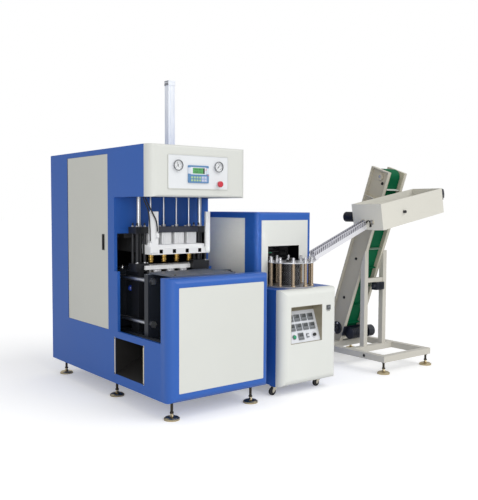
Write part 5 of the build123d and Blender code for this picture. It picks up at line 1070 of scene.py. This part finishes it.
turn = np.linspace(0, np.pi, 16)
hookY = hook["root"][0] + hook["reach"] * (1 - np.cos(turn))
hookArch = np.stack([turn * 0 + hook["x"], hookY, hook["top"] + hook["reach"] * (np.sin(turn) - 1)], 1)
hookFoot = np.linspace((hook["x"], *hook["root"]), hookArch[0], 5)[:-1]
hookStrap = strapSurface(np.concatenate([hookFoot, hookArch]), rightward, *hook["section"])
addPiece("chuteHook", hookStrap, "boltBlack")
along, side, rise = chuteEnds["clampFrom"]
clampPlace = onChute("top", along, side, rise)
clampPlate = plateSurface(clampPlace, -chute["along"], chute["rise"], *chuteEnds["clamp"])
addPiece("chuteClamp", clampPlate, "greySteel")
alongStep, riseStep = chuteEnds["boltSteps"]
boltPlaces = [
    onChute("top", along + x, side - chuteEnds["clamp"][2], rise + z)
    for z in (riseStep, -riseStep)
    for x in (-alongStep, alongStep)
]
addPiece("chuteClampBolts", boltsAt(boltPlaces, -chute["side"], *chuteEnds["bolt"]), "boltSteel")
stopPlace = onChute("foot", *chuteEnds["stopFrom"])
addPiece("chuteStop", plateSurface(stopPlace, -chute["along"], chute["rise"], *chuteEnds["stop"]), "boltBlack")
print("chute ends built")


# Elevator: bearings at the pulleys, shelves across the channels' flanges, side bolts

shaftBore = 0.0112  # clears the pulleys' shafts, which are 0.0100 in radius
channel = {
    "webs": {"Left": (1.969, -1), "Right": (2.126, 1)},  # x of each web, and the way it faces
    "tailBearing": [
        (shaftBore, 0), (0.05, 0), (0.05, 0.008), (0.048, 0.01), (0.031, 0.011), (0.03, 0.02), (0.027, 0.024),
        (shaftBore, 0.024),
    ],
    "tailBoltsFrom": (0.04, 0.009),  # along the elevator to each side, and out of the web
    "tailBolt": (0.007, 0.007),
    "headBearing": [(shaftBore, 0.0), (0.03, 0.0), (0.03, 0.008), (0.028, 0.01), (shaftBore, 0.011)],
    "shelvesAt": (1.17, 1.388),
    "shelf": (0.026, 0.157, 0.004, 0.001),  # width, depth, thickness and corner radius
    "middle": 0.0855,
    "boltsAt": [(0.6715, 0.0936), (0.335, 0.102), (1.296, 0.0506)],  # along the elevator and back
    "bolt": (0.009, 0.008),
    "frameBoltsAt": [(1.768, y, 0.1075) for y in (0.56, 0.15)],
    "frameBolt": (0.0085, 0.007),
}


def channelPoint(x, along, depth):
    return np.array((x, 0, 0)) + elevator["foot"] + along * elevator["up"] + depth * elevator["back"]


tailPlace = np.array((channel["webs"]["Left"][0], *pulleys["tail"][1:]))
tailUnit = turnedSurface(channel["tailBearing"], tailPlace, leftward, 40, closed=True)
addPiece("tailBearing", tailUnit, "motorNavy")
boltStep, boltOut = channel["tailBoltsFrom"]
tailBolts = [tailPlace + sign * boltStep * elevator["up"] - (boltOut, 0, 0) for sign in (-1, 1)]
addPiece("tailBearingBolts", boltsAt(tailBolts, leftward, *channel["tailBolt"]), "boltSteel")
for webName, (webX, out) in channel["webs"].items():
    outward = (out, 0, 0)
    cap = turnedSurface(channel["headBearing"], (webX, *pulleys["head"][1:]), outward, 40, closed=True)
    # the bearing caps take the webs' painted shade
    addPiece(f"headBearing{webName}", cap, "webShadeCream")
    shelfX = webX + out * channel["shelf"][0] / 2
    shelves = [
        plateSurface(channelPoint(shelfX, at, channel["middle"]), rightward, elevator["back"], *channel["shelf"])
        for at in channel["shelvesAt"]
    ]
    addPiece(f"channelShelves{webName}", shelves, "loaderCream")
    webBolts = [channelPoint(webX, *place) for place in channel["boltsAt"]]
    addPiece(f"channelBolts{webName}", boltsAt(webBolts, outward, *channel["bolt"]), "boltBlack")
addPiece("loaderFrameBolts", boltsAt(channel["frameBoltsAt"], leftward, *channel["frameBolt"]), "boltBlack")
print("elevator dressed")


# Trough: latch at its right end, a push knob on its front, bearing caps for the rollers

troughSet = {
    "length": 0.69,
    "knobPlace": (1.8348, -0.134, 1.1632),
    "knob": [
        (0.01, 0), (0.0105, 0.003), (0.008, 0.006), (0.0085, 0.011),
        (0.011, 0.014), (0.01, 0.018), (0.004, 0.0195),
    ],
    "latchPlace": (0.69, 0.016, 0.135),  # along the trough, back and up
    "latchPlate": (0.031, 0.084, 0.01, 0.004, 0.001),
    "latchBody": (0.027, 0.044, 0.018, 0.006, 0.003),
    "bodyFrom": (0.01, 0.012),  # from the plate: along the trough and up
    "lever": (0.017, 0.004),
    "leverFrom": (0.029, 0.034),
    "leverBow": 0.007,
    "leverDrop": 0.066,
    "rollersY": (0.0935, 0.1715),
    "rollerRise": 0.054,
    "rollerCap": [(0.009, 0), (0.0175, 0), (0.0175, 0.004), (0.013, 0.006), (0.013, 0.01), (0.009, 0.011)],
}


def inTrough(along, y, rise):
    return trough["corner"] + along * trough["along"] + (0, y, 0) + rise * trough["rise"]


knob = turnedSurface(troughSet["knob"], troughSet["knobPlace"], frontward, 28)
addPiece("troughKnob", knob, "blackPlastic")
latchBase = inTrough(*troughSet["latchPlace"])
bodyOut, bodyRise = troughSet["bodyFrom"]
latchMiddle = latchBase + bodyOut * trough["along"] + bodyRise * trough["rise"]
latch = plateSurface(latchBase, backward, trough["rise"], *troughSet["latchPlate"])
latchBody = plateSurface(latchMiddle, backward, trough["rise"], *troughSet["latchBody"])
addPiece("troughLatch", [latch, latchBody], "motorNavy")
run = np.linspace(0, 1, 14)[:, None]  # the lever bows out by a half sine as it goes down
leverStart, leverTop = troughSet["leverFrom"]
leverOut = leverStart + troughSet["leverBow"] * np.sin(run * np.pi)
leverRise = leverTop - troughSet["leverDrop"] * run
leverPath = latchBase + leverOut * trough["along"] + leverRise * trough["rise"]
addPiece("troughLatchLever", strapSurface(leverPath, backward, *troughSet["lever"]), "boltSteel")
rollerCaps = []
for y in troughSet["rollersY"]:
    for along, out in ((troughSet["length"], 1), (0.0, -1)):
        place = inTrough(along, y, troughSet["rollerRise"])
        rollerCaps.append(turnedSurface(troughSet["rollerCap"], place, out * trough["along"], 32, closed=True))
addPiece("rollerCaps", rollerCaps, "castorZinc")
print("trough dressed")


# Junction box: ribbed lid, round gland at its end

junction = {
    "middle": (2.099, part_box("post_frame")[0][1], 0.587),
    "lid": (0.088, 0.056, 0.006, 0.005, 0.0015),
    "rib": (0.006, 0.046, 0.005, 0.0025, 0.0015),
    "ribSteps": (-0.03, -0.015, 0.0, 0.015, 0.03),
    "ribLevel": 0.006,
    "glandPlace": (2.054, 0.305, 0.587),
    "gland": [(0.018, 0), (0.018, 0.008), (0.015, 0.01), (0.015, 0.022), (0.012, 0.026), (0.005, 0.027)],
}
lidX, lidY, lidZ = junction["middle"]
lid = [frontPlate(junction["middle"], *junction["lid"])]
ribY = lidY - junction["ribLevel"]
lid += [frontPlate((lidX + step, ribY, lidZ), *junction["rib"]) for step in junction["ribSteps"]]
lid.append(turnedSurface(junction["gland"], junction["glandPlace"], leftward, 28))
addPiece("junctionLid", lid, "motorNavy")
print("junction box built")


# Floor, sky and lamps

studio = {
    "floorRadius": 60.0,
    "floorColour": (0.86, 0.86, 0.86),
    "floorGlow": 0.3,
    "skyLight": 0.58,
    "lamps": [  # name, kind, place, aim, power, and size in metres or the sun's angle in degrees
        ("sun", "SUN", (0.3, -0.66, 0.69), (0, 0, 0), 1.25, 50.0),
        ("fill", "AREA", (-3.4, -4.6, 2.0), (0.6, 0.3, 0.8), 95.0, 2.6),
        ("key", "AREA", (-1.25, -2.15, 1.02), (0.77, 0.42, 1.0), 0.12, 0.25),
    ],
    "keySpread": 9.0,
}


# Strength 1 where a ray comes straight from the camera or through glass
def seenDirectly(tree):
    path = tree.nodes.new("ShaderNodeLightPath")
    return mathNode(tree, "MAXIMUM", path.outputs["Is Camera Ray"], path.outputs["Is Transmission Ray"])


def buildFloor():
    angle = np.linspace(0, 2 * np.pi, 96, endpoint=False)
    ring = np.stack([np.cos(angle), np.sin(angle), angle * 0], 1) * studio["floorRadius"]
    mesh = bpy.data.meshes.new("floor")
    mesh.from_pydata(ring.tolist(), [], [list(range(len(ring)))])
    floor = bpy.data.objects.new("floor", mesh)
    bpy.context.scene.collection.objects.link(floor)
    material = bpy.data.materials.new("floorWhite")
    material.use_nodes = True
    tree = material.node_tree
    tree.nodes.remove(tree.nodes["Principled BSDF"])
    diffuse = feedNode(tree, tree.nodes.new("ShaderNodeBsdfDiffuse"), Color=studio["floorColour"])
    strength = mathNode(tree, "MULTIPLY", seenDirectly(tree), studio["floorGlow"])
    glow = feedNode(tree, tree.nodes.new("ShaderNodeEmission"), Strength=strength)
    total = tree.nodes.new("ShaderNodeAddShader")
    tree.links.new(diffuse.outputs[0], total.inputs[0])
    tree.links.new(glow.outputs[0], total.inputs[1])
    tree.links.new(total.outputs[0], tree.nodes["Material Output"].inputs["Surface"])
    mesh.materials.append(material)


def buildWorld():
    world = bpy.data.worlds.new("studio")
    world.use_nodes = True
    bpy.context.scene.world = world
    tree = world.node_tree
    seen = seenDirectly(tree)
    rest = mathNode(tree, "MULTIPLY", mathNode(tree, "SUBTRACT", 1.0, seen), studio["skyLight"])
    feedNode(tree, tree.nodes["Background"], Color=(1, 1, 1), Strength=mathNode(tree, "ADD", seen, rest))


def addLamp(name, kind, place, aim, power, size):
    light = bpy.data.lights.new(name, kind)
    light.energy = power
    if kind == "SUN":
        light.angle = math.radians(size)
    else:
        light.size = size
    lamp = bpy.data.objects.new(name, light)
    bpy.context.scene.collection.objects.link(lamp)
    lamp.location = place
    lamp.rotation_euler = (Vector(aim) - Vector(place)).to_track_quat("-Z", "Y").to_euler()


buildFloor()
buildWorld()
for lampSettings in studio["lamps"]:
    addLamp(*lampSettings)
bpy.data.lights["key"].spread = math.radians(studio["keySpread"])
bpy.context.scene.view_settings.view_transform = "Standard"
print("floor, sky and lamps placed")
